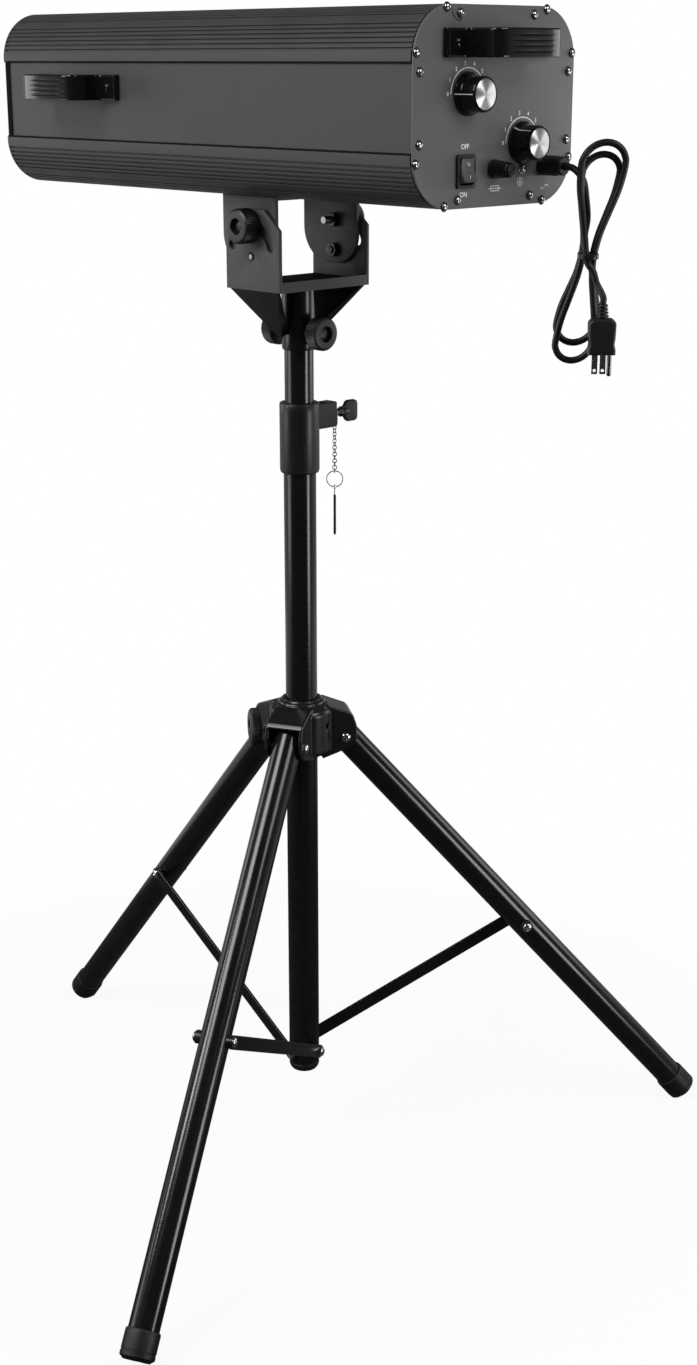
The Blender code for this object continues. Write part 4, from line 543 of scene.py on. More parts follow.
lead_route = [
    gland_end - 12 * tube_end,
    gland_end + 2 * tube_end,
    gland_end + 13 * tube_end - 2.5 * upward,
    gland_end + 22.5 * tube_end + 0.8 * across - 12.5 * upward,
    gland_end + 26.2 * tube_end + 1 * across - 28 * upward,
    lead_end + 20 * lead_direction,
    lead_end + 2 * CORD_RADIUS * lead_direction,
]
plug_top = in_hank([(13.5, 19, -43)])[0]
tail_direction = (hank_points[-1] - hank_points[-2]) / np.linalg.norm(hank_points[-1] - hank_points[-2])
tail_route = [
    hank_points[-1] + 4 * tail_direction,
    plug_top + (FIT + 2 * CORD_RADIUS) * upward,
    plug_top + FIT * upward,
]
cord_line = [MM * point for point in smooth_through([*lead_route, *hank_points, *tail_route], 2.5)]
cord_data = bpy.data.curves.new("mains_cord", "CURVE")
cord_data.dimensions = "3D"
cord_data.bevel_depth = MM * CORD_RADIUS
cord_data.bevel_resolution = 6
cord_data.use_fill_caps = True
cord_spline = cord_data.splines.new("POLY")
cord_spline.points.add(len(cord_line) - 1)
for target, point in zip(cord_spline.points, cord_line):
    target.co = (*point, 1.0)
cord_spline.use_smooth = True
cord_data.materials.append(cord_jacket)
mains_cord = bpy.data.objects.new("mains_cord", cord_data)
scene.collection.objects.link(mains_cord)
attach(mains_cord, "head")
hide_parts("cord_lead", "cord_hank", "cord_tail")

hank_frame = Matrix([*np.column_stack((across, -outward, upward, waist)).tolist(), (0, 0, 0, 1)])
tie_outline = [rounded_rectangle(18.8, 28.2, 8.5, 8), rounded_rectangle(17.6, 27, 7.9, 8)]
tie_band = plate([shifted(outline, (0, -1.5)) for outline in tie_outline], -2.5, 2.5, "Z", 0.4)
tie_head = block((-3, -19, -3), (3, -15.2, 3), 0.6)
cord_tie = piece("cord_tie", together(tie_band, tie_head), "head", satin_black, place=hank_frame)

# Plug: ribbed strain relief, moulded body, flat blades and a round ground pin
PLUG = Matrix.Translation(Vector(plug_top)) @ spin(HANK_HEADING)
RELIEF = 13
relief_profile = [(0, 0), (4.3, 0), (4.7, -0.4)]
for k in range(4):
    ring = 4.8 + 0.35 * k
    top = -0.6 - 3.1 * k
    relief_profile += [
        (ring, top - 0.2), (ring + 0.2, top - 0.6), (ring + 0.2, top - 1.5), (ring, top - 1.9),
        (ring - 1, top - 2), (ring - 1, top - 2.9),
    ]
relief_profile += [(6, -RELIEF), (6, -RELIEF - 3), (0, -RELIEF - 3)]
grip_outline = [(-7, -RELIEF), (7, -RELIEF)]
grip_outline += arc((7, -RELIEF - 6), 6, pi / 2, 0.1, 8)
grip_outline += [(12.6, -RELIEF - 18), (11.8, -RELIEF - 24), (13, -RELIEF - 29), (13, -RELIEF - 34)]
grip_outline += [(-u, v) for u, v in reversed(grip_outline[1:])][:-1]
plug_shape = together(turned(relief_profile, steps=40), plate([grip_outline], -8.5, 8.5, "Y", 2.8, 5))
plug_body = piece("plug_body", plug_shape, "head", plug_rubber, ["plug"], PLUG, 50)
FACE = -RELIEF - 33
PINS_AT = 3.5
BLADE_HALF = 2.9
BLADE_THICKNESS = 1.5
blades = []
for x in (-6.2, 1.5):
    end = FACE - 19
    blade = [(x - BLADE_HALF, end), (x + BLADE_HALF, end), (x + BLADE_HALF, FACE), (x - BLADE_HALF, FACE)]
    levels = (-PINS_AT - BLADE_THICKNESS / 2, -PINS_AT + BLADE_THICKNESS / 2)
    blades.append(plate([blade, circle((x, end + 3.5), 1.4, 16)], *levels, "Y", 0.3))
plug_pins = piece("plug_blades", together(*blades), "head", chrome, place=PLUG)
ground_pin = turned([(0, -22), (1.2, -22), (2, -21.2), (2.3, -19.5), (2.3, 0), (0, 0)], steps=28)
plug_ground = piece("plug_ground", ground_pin, "head", dark_nickel, place=PLUG @ at(8.5, PINS_AT, FACE))


# Fasteners
def cross_screw(radius, height):
    """A domed screw head on +Z from its seat at 0, with a cross recess."""
    profile = [(0, -0.6), (radius, -0.6), (radius, 0.25 * height)]
    profile += [(radius * cos(a), height * (0.25 + 0.75 * sin(a))) for a in np.linspace(0.25, 1.35, 6)]
    profile.append((0, height))
    head = turned(profile, steps=32)
    half = 0.62 * radius
    wide = 0.17 * radius
    bars = []
    for turn in (0, pi / 2):
        corners = []
        for level, long, thick in ((1.2 * height, half, wide), (0.35 * height, 0.45 * half, 0.5 * wide)):
            corners += [(x * long, y * thick, level) for x in (-1, 1) for y in (-1, 1)]
        bars.append(moved(hull(corners), spin(turn)))
    return carved(head, cuts=bars)


# Lamp housing
corner_centre = (HALF_WIDTH - CORNER, HALF_HEIGHT - CORNER)
# Bands of ribs: first and last angle, count, and where the smooth band after them ends
RIB_BANDS = ((80, 54, 5, 46), (45, 10, 6, 0))
RIB_DEPTH = 1.8
RIB_SHAPE = ((0, 0), (0.46, 0), (0.52, 0.1), (0.56, 0.9), (0.60, 1), (0.86, 1), (0.90, 0.9), (0.94, 0.1))


def rail_outline(rib_depth):
    """The +X +Z rail: flat bands by its seams, two bands of ribs, and a smooth band between."""
    outer = [(TOP_SEAM, HALF_HEIGHT), *arc(corner_centre, CORNER, radians(90), radians(81), 4)]
    for start, end, ribs, smooth_end in RIB_BANDS:
        for k in range(ribs):
            for share, depth in RIB_SHAPE:
                angle = radians(start + (end - start) * (k + share) / ribs)
                outer += arc(corner_centre, CORNER - depth * rib_depth, angle, angle, 1)[:1]
        outer += arc(corner_centre, CORNER, radians(end), radians(smooth_end), 8)
    inner = arc(corner_centre, CORNER - RAIL_WALL, 0, pi / 2, 20)
    side_edge = [(HALF_WIDTH, SIDE_SEAM), (HALF_WIDTH - RAIL_WALL, SIDE_SEAM)]
    return [*outer, *side_edge, *inner, (TOP_SEAM, HALF_HEIGHT - RAIL_WALL)]


RAIL_START = LAMP_REAR + 3.6
LIP_START = LAMP_FRONT - 2
GAP_SHADE_SHARE = 0.996
seam_shade_strips = []
for x_sign, side in ((-1, "left"), (1, "right")):
    for z_sign, level in ((1, "top"), (-1, "bottom")):
        outline = [(x_sign * x, z_sign * z) for x, z in rail_outline(RIB_DEPTH)]
        lip = [(x_sign * x, z_sign * z) for x, z in rail_outline(0)]
        rail = prism(outline, RAIL_START, LIP_START, "Y")
        rail = together(rail, prism(lip, LIP_START, LAMP_FRONT, "Y"))
        # A dark copy of the rail's outline in the gap between the rear cover and the rail: painted shade in
        # that gap
        gap_shade = [(GAP_SHADE_SHARE * x, GAP_SHADE_SHARE * z) for x, z in outline]
        seam_shade_strips.append(prism(gap_shade, LAMP_REAR + PANEL_WALL + 0.1, RAIL_START - 0.1, "Y"))
        piece(f"ribbed_rail_{level}_{side}", rail, "head", housing_paint, [f"rail_{level}_{side}"], LAMP, 30)

KNOBS = {"colour": (-38, 12), "aperture": (37.5, -32.3)}
ROCKER_AT = (-40.3, -55.8)
FUSE_AT = (-1, -55)
rear_outline = rounded_rectangle(2 * HALF_WIDTH, 2 * HALF_HEIGHT, CORNER, 32)
rear_holes = [circle(place, 3.3, 24) for place in KNOBS.values()]
rear_holes += [circle(FUSE_AT, 7.3), circle(GLAND_AT, 7.3)]
rear_holes.append(shifted(rounded_rectangle(22.3, 28, 1, 3), ROCKER_AT))
rear_plate = plate([rear_outline, *rear_holes], LAMP_REAR, LAMP_REAR + PANEL_WALL, "Y", 0.4)
piece("rear_cover", rear_plate, "head", plate_paint, ["rear_plate"], LAMP)

screw_places = []
for x, z in ((67.5, 86), (50, 81), (105.5, 47.5), (101, 31)):
    screw_places += [(sx * x, sz * z) for sx in (-1, 1) for sz in (-1, 1)]
turns = [at(x, LAMP_REAR, z) @ FACING["-Y"] @ spin(7.3 * k) for k, (x, z) in enumerate(screw_places)]
piece("plate_screws", copies(cross_screw(3.5, 3), turns), "head", chrome, place=LAMP)
# Black rings round the plate screws: painted shade where the screw heads sit in the cover
screw_shade_ring = turned([(3.4, 0), (4.6, 0), (4.4, 0.5), (3.4, 0.5)], ring=True)
piece("screw_shade_rings", copies(screw_shade_ring, turns), "head", gloss_black, place=LAMP)

# Dark strips behind and in the seams of the housing: painted shade, so that each seam reads as a dark line
SHADE_BEHIND_SEAMS = (((103, 104.7), (33, 47)), ((54.8, 64), (82.8, 84.5)))
SHADE_IN_SEAMS = (((107.1, 108.8), (38.2, 39.9)), ((56.2, 57.9), (86.9, 88.6)))


def strips(sections, rear, front):
    """Strips along the lamp at its four corners, from their ranges across and up."""
    made = []
    for x_sign in (-1, 1):
        for z_sign in (-1, 1):
            for x_range, z_range in sections:
                x0, x1 = sorted(x_sign * x for x in x_range)
                z0, z1 = sorted(z_sign * z for z in z_range)
                made.append(block((x0, rear, z0), (x1, front, z1), 0.2))
    return made


STRIP_REAR = LAMP_REAR + 2.6
shade_behind_seams = strips(SHADE_BEHIND_SEAMS, STRIP_REAR, LAMP_FRONT - 6.6)
seam_shade_strips += strips(SHADE_IN_SEAMS, STRIP_REAR, LAMP_FRONT - 0.4)
# Dark strips on the side panels by the front cover: painted shade along that seam
for x0, x1 in ((-108, -107.1), (107.1, 108)):
    seam_shade_strips.append(block((x0, LAMP_FRONT - 8.5, -38), (x1, LAMP_FRONT - 1, 38), 0.2))
piece("seam_shade_behind", together(*shade_behind_seams), "head", satin_black, place=LAMP)
piece("seam_painted_shade", together(*seam_shade_strips), "head", painted_shade_black, place=LAMP)

# Front end
inset = RAIL_WALL + FIT
front_outline = []
for k, (x_sign, z_sign) in enumerate(((1, 1), (-1, 1), (-1, -1), (1, -1))):
    centre = (x_sign * corner_centre[0], z_sign * corner_centre[1])
    bend = arc(centre, CORNER - inset, k * pi / 2, (k + 1) * pi / 2, 20)
    side_step = (x_sign * (HALF_WIDTH - inset), z_sign * (SIDE_SEAM - FIT))
    side_tab = (x_sign * SIDE_FACE, z_sign * (SIDE_SEAM - FIT))
    top_step = (x_sign * (TOP_SEAM - FIT), z_sign * (HALF_HEIGHT - inset))
    top_tab = (x_sign * (TOP_SEAM - FIT), z_sign * (HALF_HEIGHT - PANEL_WALL))
    corner = [side_tab, side_step, *bend, top_step, top_tab]
    front_outline += corner if k % 2 == 0 else [top_tab, top_step, *bend, side_step, side_tab]
FRONT = LAMP @ at(0, LAMP_FRONT, 0)
front = plate([front_outline, circle((0, 0), 52, 96)], LAMP_FRONT - 6, LAMP_FRONT - FIT, "Y", 0.5)
piece("front_cover", front, "head", satin_black, ["front_plate"], LAMP)
front_screws = [at(x * 80, LAMP_FRONT - FIT, z * 62) @ FACING["Y"] for x in (-1, 1) for z in (-1, 1)]
piece("front_screws", copies(cross_screw(2.8, 1.9), front_screws), "head", zinc, place=LAMP)
bezel_profile = [
    (55.5, 0), (68, 0), (68, 6.2), (67.6, 8), (66.6, 9.3), (65, 10), (60, 10), (59, 9.2), (57.5, 9.2),
    (56.5, 10), (53, 10), (52.5, 9.5), (52.5, 6.3), (55.5, 6.3),
]
bezel = turned(bezel_profile, "Y", 96, ring=True)
piece("lens_ring", bezel, "head", satin_black, ["lens_bezel"], FRONT)
LENS_RADIUS = 55.2
LENS_EDGE = 5
LENS_DOME = 10
dome = [(LENS_RADIUS * share, LENS_EDGE + LENS_DOME * (1 - share**2)) for share in np.linspace(1, 0, 17)]
lens = turned([(0, 0), (LENS_RADIUS, 0), *dome], "Y", 96)
piece("front_glass", lens, "head", lens_glass, ["front_lens"], FRONT)

# Panels, and the inside as far as the vents and the lens show it
for name, look in (
    ("side_panel_left", housing_paint),
    ("side_panel_right", housing_paint),
    ("top_panel", housing_paint),
    ("bottom_panel", housing_paint),
    ("chassis_tray", sheet_steel),
    ("ballast", bracket_paint),
    ("fan_frame", satin_black),
    ("fan_rotor", satin_black),
    ("wheel_motor", satin_black),
    ("colour_wheel", bright_aluminium),
    ("iris_ring", bright_aluminium),
    ("reflector", bright_aluminium),
    ("discharge_lamp", lamp_quartz),
):
    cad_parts[name].data.materials.clear()
    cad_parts[name].data.materials.append(look)

# Dials: a black skirted body with a spun aluminium end, and a white pointer down its side
DIAL_LENGTH = 22
body_profile = [
    (2.8, -12), (2.8, FIT), (19.3, FIT), (19.5, 0.6), (19.5, 1.8), (19.1, 2.6), (17.4, 4.6), (16.6, 6),
    (16.1, 8), (15.8, DIAL_LENGTH - 1.6), (15.4, DIAL_LENGTH - 0.6), (14.7, DIAL_LENGTH),
    (13.9, DIAL_LENGTH), (13.7, DIAL_LENGTH - 0.7), (0, DIAL_LENGTH - 0.7),
]
cap_profile = [(0, DIAL_LENGTH - 0.9), (13.5, DIAL_LENGTH - 0.9), (13.5, DIAL_LENGTH - 0.3)]
cap_profile += [(13.2, DIAL_LENGTH - 0.1), (0, DIAL_LENGTH - 0.1)]
pointer_path = [(19.6, 1.8), (19.2, 2.7), (17.5, 4.7), (16.7, 6.1), (16.2, 8.1)]
pointer_path.append((15.92, DIAL_LENGTH - 2))
DIAL_TURNS = {"colour": pi, "aperture": radians(135)}
for name, (x, z) in KNOBS.items():
    place = LAMP @ at(x, LAMP_REAR, z)
    body = f"{name}_knob"
    piece(f"{name}_dial", turned([(0, -12), *body_profile], "-Y", 72), body, gloss_black, [body], place, 28)
    piece(f"{name}_dial_cap", turned(cap_profile, "-Y", 72), body, spun_aluminium, place=place)
    strip = []
    for ends in zip(pointer_path, pointer_path[1:]):
        strip.append(hull([(r + d, w, h) for r, h in ends for d in (-0.4, 0.06) for w in (-0.45, 0.45)]))
    pointer = moved(together(*strip), FACING["-Y"] @ spin(DIAL_TURNS[name]))
    piece(f"{name}_pointer", pointer, body, white_print, place=place)

# Printed marks: dial arcs with plain numbers, ON and OFF, a fuse sign, a mains sign and an earth sign
PRINT = 0.06
PANEL = LAMP @ at(0, LAMP_REAR, 0)


def lettering(text, size, x, z):
    data = bpy.data.curves.new("print", "FONT")
    data.body = text
    data.size = size
    data.align_x = "CENTER"
    data.align_y = "CENTER"
    data.extrude = PRINT
    data.offset = 0.02 * size
    return moved(from_curve(data), at(x, 0, z) @ spin(pi / 2, "X"))


def band(centre, radius, width, start, end, steps=40):
    outer = arc(centre, radius + width / 2, start, end, steps)
    return prism(outer + arc(centre, radius - width / 2, end, start, steps), -PRINT, PRINT, "Y")


def bar(x, z, width, height):
    outline = [(x - width / 2, z - height / 2), (x + width / 2, z - height / 2)]
    outline += [(x + width / 2, z + height / 2), (x - width / 2, z + height / 2)]
    return prism(outline, -PRINT, PRINT, "Y")


marks = []
for x, z in KNOBS.values():
    marks.append(band((x, z), 22.8, 1, pi, radians(20)))
    for k in range(7):
        angle = pi - k * radians(160) / 6
        marks.append(lettering(str(k), 5.2, x + 26.8 * cos(angle), z + 26.8 * sin(angle)))
marks += [lettering("OFF", 6.2, -40.7, -34), lettering("ON", 6.2, -42, -76.5)]
marks += [bar(0.6, -70.3, 11, 0.7), bar(0.6, -74.7, 11, 0.7)]
marks += [bar(x, -72.5, 0.7, 5.1) for x in (-4.9, 6.1)]
marks.append(bar(0.6, -72.5, 17, 0.7))
wave = [(71 + 5.5 * t / 12, -73.7 + 1.8 * sin(pi * t / 12)) for t in range(-12, 13)]
wave_outline = [(u, v + 0.4) for u, v in wave] + [(u, v - 0.4) for u, v in reversed(wave)]
marks.append(prism(wave_outline, -PRINT, PRINT, "Y"))
EARTH = (36, -68)
marks.append(band(EARTH, 3.6, 0.5, 0, 2 * pi * 0.999))
marks.append(bar(EARTH[0], EARTH[1] + 1.2, 0.5, 2.2))
for k, width in enumerate((4, 2.6, 1.2)):
    marks.append(bar(EARTH[0], EARTH[1] - 0.9 * k, width, 0.5))
piece("panel_marks", together(*marks), "head", white_print, place=PANEL)
# A dark arc on the rear cover by the top-left screws: a painted shadow line along a tab's edge
tab_shade_line = band((-50.5, 85.5), 10.5, 1.3, pi, radians(285))
piece("tab_painted_shade", tab_shade_line, "head", satin_black, place=PANEL)

# Rocker switch
ROCKER = PANEL @ at(ROCKER_AT[0], 0, ROCKER_AT[1])
pocket = rounded_rectangle(17.5, 23.5, 0.8, 3)
frame_rim = plate([rounded_rectangle(24.3, 30, 2, 6), pocket], -2.5, -FIT, "Y", 0.6)
frame_box = plate([rounded_rectangle(21.7, 27.4, 1, 3), pocket], -2, 20, "Y", 0.3)
piece("switch_frame", together(frame_rim, frame_box), "head", satin_black, ["rocker_frame"], ROCKER)
rocker_face = [(-7 + 3 * cos(0.5 * pi * t / 8), 10.5 * t / 8) for t in range(8, -9, -1)]
rocker_outline = [*rocker_face, (1, -10.5), (7, -5), (7, 5), (1, 10.5)]
LEAN = spin(radians(-12), "X")
rocker = plate([rocker_outline], -8.45, 8.45, "X", 0.5, 3)
piece("switch_rocker", rocker, "rocker", rocker_grey, ["rocker"], ROCKER @ LEAN)
off_ring = moved(band((0, 0), 1.6, 0.5, 0, 2 * pi * 0.999), at(0, -5.8, 6) @ spin(-0.2, "X"))
on_line = moved(bar(0, 0, 0.5, 3.4), at(0, -5.8, -6) @ spin(0.2, "X"))
piece("switch_marks", together(off_ring, on_line), "rocker", white_print, place=ROCKER @ LEAN)

# Fuse holder, its cap, the gland and the earth screw
FUSE = PANEL @ at(FUSE_AT[0], 0, FUSE_AT[1])
fuse_profile = [(5.5, -16), (7, -16), (7, FIT), (8.75, FIT), (8.75, 2.4), (8.2, 3.3), (5.5, 3.3)]
piece("fuse_base", turned(fuse_profile, "-Y", ring=True), "head", satin_black, ["fuse_holder"], FUSE)
cap = [
    (0, -14), (5.2, -14), (5.2, 3.6), (8, 3.6), (8.1, 4.2, 0.5), (7.9, 10, 0.6), (6.9, 19.5, 0.6),
    (6.2, 21.2, 0.3), (5.2, 22), (0, 22),
]
fuse_slot = moved(block((-4.5, -0.8, 20.8), (4.5, 0.8, 23.5), 0.2), FACING["-Y"] @ spin(0.6))
fuse_cap = carved(turned(cap, "-Y", 96, ribs=16), cuts=[fuse_slot])
piece("fuse_knob", fuse_cap, "fuse_cap", gloss_black, ["fuse_cap"], FUSE)
gland = [
    (3.65, -12), (7, -12), (7, FIT), (9.3, FIT), (9.3, 5), (8.8, 5.4), (8.8, 6.2), (9.3, 6.6, 0.6),
    (9.3, 18.5, 0.6), (9, 20.5, 0.3), (8.2, 22), (8.2, 23), (8.8, 24), (8.6, 26.2), (7.8, GLAND_LENGTH),
    (3.65, GLAND_LENGTH),
]
GLAND = PANEL @ at(GLAND_AT[0], 0, GLAND_AT[1])
grommet = turned(gland, "-Y", 96, ring=True, ribs=16)
piece("cord_grommet", grommet, "head", satin_black, ["cord_gland"], GLAND)
washer = turned([(2.2, 0), (5.2, 0), (5.2, 0.8), (2.2, 0.8)], "-Y", 40, ring=True)
earth_head = moved(cross_screw(3.6, 2.6), at(0, -0.8, 0) @ FACING["-Y"] @ spin(0.5))
piece("earth_screw", together(washer, earth_head), "head", chrome, place=PANEL @ at(38.6, 0, -55.8))

# Handles: ribbed straps with flat screwed feet
HANDLE_WIDTH = 25.5
# Outer point, inner point and depth of the grooves along half a strap, from its foot to its crest
STATIONS = (
    (71, 4, 71, FIT, 0), (70, 5.8, 70, FIT, 0), (64, 6, 64, FIT, 0), (54, 6, 52, FIT, 0),
    (48.6, 6.4, 44, FIT, 0), (46.2, 8.4, 40, 2, 0), (45, 13, 37.6, 7.5, 0), (44.9, 24, 37.5, 21, 0),
    (44.8, 32.5, 37.4, 30.5, 0), (43.8, 37.4, 35.2, 34, 0), (40.5, 40.7, 31.8, 36.1, 0),
    (32, 43.2, 25, 37.2, 0.1), (17, 44.6, 13.5, 38.2, 0.6), (0, 45, 0, 38.5, 1),
)
GROOVES = (-0.32, -0.107, 0.107, 0.32)
GROOVE_HALF = 0.075
GROOVE_DEPTH = 0.8
EDGE_ROUND = 1.6
FACE_STEPS = 64


def strap_section(thickness, rib):
    """Closed points (across, height over the inner face) of the strap, with grooves in its outer face."""
    half = HANDLE_WIDTH / 2
    points = []
    edge = min(EDGE_ROUND, 0.45 * thickness)
    for k in range(FACE_STEPS + 1):
        share = k / FACE_STEPS - 0.5
        depth = 0.0
        for groove in GROOVES:
            near = abs(share - groove) / GROOVE_HALF
            if near < 1:
                depth = GROOVE_DEPTH * 0.5 * (1 + cos(pi * near))
        points.append((2 * share * (half - edge), thickness - rib * depth))
    points += arc((half - edge, thickness - edge), edge, pi / 2, 0, 4)[1:]
    points += arc((half - edge, edge), edge, 0, -pi / 2, 4)
    points += arc((-half + edge, edge), edge, -pi / 2, -pi, 4)
    points += arc((-half + edge, thickness - edge), edge, pi, pi / 2, 4)[:-1]
    return points


def strap_handle():
    """A handle along X that stands up along +Y from its feet, with its width along Z."""
    halves = [*STATIONS, *[(-a, b, -c, d, e) for a, b, c, d, e in reversed(STATIONS[:-1])]]
    shape = bmesh.new()
    rings = []
    for ou, ov, iu, iv, rib in smooth_through(halves, 1.6):
        inner, outer = Vector((iu, iv, 0)), Vector((ou, ov, 0))
        away = outer - inner
        points = strap_section(away.length, max(0, min(1, rib)))
        rings.append([shape.verts.new(inner + away.normalized() * h + Vector((0, 0, w))) for w, h in points])
    for low, high in zip(rings, rings[1:]):
        for k in range(len(low)):
            shape.faces.new((low[k - 1], low[k], high[k], high[k - 1]))
    shape.faces.new(rings[0])
    shape.faces.new(rings[-1])
    return closed(shape)


REAR_HANDLE = LAMP @ at(0, LAMP_REAR, 56) @ spin(pi, "X")
SIDE_HANDLE = LAMP @ at(-SIDE_FACE, 225, 14) @ spin(pi / 2)
handle_screws = [at(x, 6, 0) @ FACING["Y"] @ spin(0.4) for x in (-57.5, 57.5)]
for name, place in (("rear", REAR_HANDLE), ("side", SIDE_HANDLE)):
    piece(f"{name}_strap", strap_handle(), "head", gloss_black, [f"{name}_handle"], place, 40)
    screws = copies(cross_screw(4.2, 2.4), handle_screws)
    piece(f"{name}_strap_screws", screws, "head", gloss_black, place=place)

# Head bracket and its nuts
SLOT_RADIUS = 31
YOKE_HALF = 63
SHEET = 4
PIVOT_HOLE = 4.3
ear_outside = YOKE_HALF - SHEET - 0.5
ear_inside = ear_outside - SHEET
web_top = 60.5 - FIT
ear_outline = [(48, web_top), (-33, web_top)]
ear_outline += arc((-3, 16.5), 30, pi, 1.5 * pi, 16)
ear_outline += arc((12, 22.5), 36, -pi / 2, 0, 16)
bracket = [block((-ear_inside - 1, -33, web_top - 3.7), (ear_inside + 1, 48, web_top), 0.4)]
for side in (-1, 1):
    levels = sorted((side * ear_inside, side * ear_outside))
    bracket.append(plate([ear_outline, circle((0, SLOT_RADIUS), PIVOT_HOLE, 32)], *levels, "X", 0.5))
piece("lamp_bracket", together(*bracket), "head", bracket_paint, ["head_bracket"], HEAD)


def hexagon(radius, low, high):
    return plate([circle((0, 0), radius, 6)], low, high, "X", 0.6)


nuts = []
studs = []
tips = []
for side in (-1, 1):
    turn = Matrix.Identity(4) if side > 0 else spin(pi)
    nuts.append(moved(hexagon(7.8, ear_inside - 6.2, ear_inside), turn))
    nuts.append(moved(hexagon(7.8, ear_inside - 6.2, ear_inside), at(0, 0, SLOT_RADIUS) @ turn))
    stud = [(0, ear_inside - 8), (3.4, ear_inside - 8), (4, ear_inside - 7.4)]
    stud += [(4, YOKE_HALF - 1.6), (0, YOKE_HALF - 1.6)]
    studs.append(moved(turned(stud, "X", 32), turn))
    tip = [(0, YOKE_HALF - 1.8), (3, YOKE_HALF - 1.8), (3, YOKE_HALF + 0.5)]
    tip += [(2.4, YOKE_HALF + 1), (0, YOKE_HALF + 1)]
    tips.append(moved(turned(tip, "X", 32), turn))
piece("bracket_nuts", together(*nuts, *studs), "head", satin_black, place=HEAD)
piece("stud_tips", together(*tips), "head", chrome, place=HEAD)

# Yoke: bent plate with a rear lip, curved slots and pivot holes
SLOT_START = radians(20)
SLOT_END = radians(160)
SLOT_HALF = 5.2
start_centre, end_centre = ((SLOT_RADIUS * cos(a), SLOT_RADIUS * sin(a)) for a in (SLOT_START, SLOT_END))
curved_slot = arc((0, 0), SLOT_RADIUS + SLOT_HALF, SLOT_START, SLOT_END, 40)
curved_slot += arc(end_centre, SLOT_HALF, SLOT_END, SLOT_END + pi, 12)[1:-1]
curved_slot += arc((0, 0), SLOT_RADIUS - SLOT_HALF, SLOT_END, SLOT_START, 40)
curved_slot += arc(start_centre, SLOT_HALF, SLOT_START + pi, SLOT_START + 2 * pi, 12)[1:-1]
yoke_outline = [(-41, 0), (41, 0), (41, 61.5), (18.5, 81), (-18.5, 81), (-41, 61.5)]
base_outline = [(-41, 0), (41, 0), (41, 6), (-36, 6), (-38, 7.5), (-38, 10.5), (-41, 10.5)]
yoke = [plate([base_outline], -YOKE_HALF + 3, YOKE_HALF - 3, "X", 0.6)]
for side in (-1, 1):
    levels = sorted((side * (YOKE_HALF - SHEET), side * YOKE_HALF))
    holes = [shifted(curved_slot, TILT_PIVOT), circle(TILT_PIVOT, PIVOT_HOLE, 32)]
    yoke.append(plate([yoke_outline, *holes], *levels, "X", 0.6))
piece("yoke_frame", together(*yoke), "yoke", bracket_paint, ["yoke_bracket"], YOKE)
# A thin black sheet on the top face of the yoke's base: painted shade where the lamp head shades the base
yoke_shade_sheet = block((-58.5, -35.5, 6.1), (58.5, 40.5, 6.6), 0.2)
piece("yoke_shade_sheet", yoke_shade_sheet, "yoke", painted_shade_black, place=YOKE)

# Socket on the mast with slanted gussets and two bosses
SOCKET_BORE = 15.8
BOSS_HEIGHT = -46
BOSS_END = 26
sleeve = [(SOCKET_BORE, -65), (17.2, -65), (18, -63), (18, -FIT), (SOCKET_BORE, -FIT)]
gussets = []
for side in (-1, 1):
    corners = []
    for depth in (-1, 1):
        corners += [
            (side * 62, depth * 36, -FIT), (side * 57.8, depth * 36, -FIT),
            (side * 26.2, depth * 2.5, -51), (side * 16.46, depth * 2.5, -46.8),
        ]
    gussets.append(hull(corners))
bosses = []
for along in ("Y", "-Y"):
    boss = [(0, 16.4), (8, 16.4), (8, BOSS_END - 0.5), (7.5, BOSS_END), (0, BOSS_END)]
    bosses.append(moved(turned(boss, along, 40), at(0, 0, BOSS_HEIGHT)))
bore = rod(SOCKET_BORE, -130, 65)
socket = carved(turned(sleeve, ring=True), [*gussets, *bosses], [bore])
# The socket and its gussets take the hub's black gloss, darker than the yoke's paint: the socket's own
# black, and painted shade on the gussets that face down
piece("socket_sleeve", socket, "yoke", hub_paint, ["yoke_socket"], YOKE, 30)


# Clamp knobs
def grip(radius, length, recess, depth, ribs, rib_depth, along):
    """A clamp knob's grip from 0 to its length, with a knurled rim and a domed round recess in its face."""
    edge = 0.08 * radius
    profile = [
        (0, 0), (0.75 * radius, 0), (radius - edge, 0.4 * edge, 0.5 * rib_depth),
        (radius, 1.5 * edge, rib_depth), (radius, length - 2.2 * edge, rib_depth),
        (radius - 0.5 * edge, length - edge, 0.6 * rib_depth),
        (radius - 1.6 * edge, length - 0.25 * edge), (radius - 2.4 * edge, length),
        (recess + 0.3 * edge, length), (recess, length - 0.3 * edge),
        (recess - 0.2 * edge, length - depth), (0.6 * recess, length - 0.75 * depth),
        (0.25 * recess, length - 0.6 * depth), (0, length - 0.58 * depth),
    ]
    return turned(profile, along, max(96, 4 * ribs), ribs=ribs)


def shank(radius, low, high, along):
    return turned([(0, low), (radius - 0.4, low), (radius, low + 0.4), (radius, high), (0, high)], along, 32)


for side, name in ((-1, "left"), (1, "right")):
    body = f"tilt_knob_{name}"
    place = HEAD @ at(side * (YOKE_HALF + FIT), 0, SLOT_RADIUS)
    if side < 0:
        place = place @ spin(pi)
    piece(f"tilt_grip_{name}", grip(17.5, 20, 8, 6, 44, 0.8, "X"), body, knob_black, [body], place, 30)
    bolt = shank(4, ear_inside - YOKE_HALF - FIT - 16.8, 1, "X")
    piece(f"tilt_bolt_{name}", bolt, body, zinc, place=place)
for side, name in ((1, "front"), (-1, "rear")):
    body = f"socket_knob_{name}"
    place = YOKE @ at(0, side * (BOSS_END + FIT), BOSS_HEIGHT)
    along = "Y" if side > 0 else "-Y"
    knob = grip(17.5, 16, 8.2, 5, 44, 0.9, along)
    piece(f"socket_grip_{name}", knob, body, knob_black, [body], place, 30)
    piece(f"socket_bolt_{name}", shank(3, -10.5, 1, along), body, zinc, place=place)

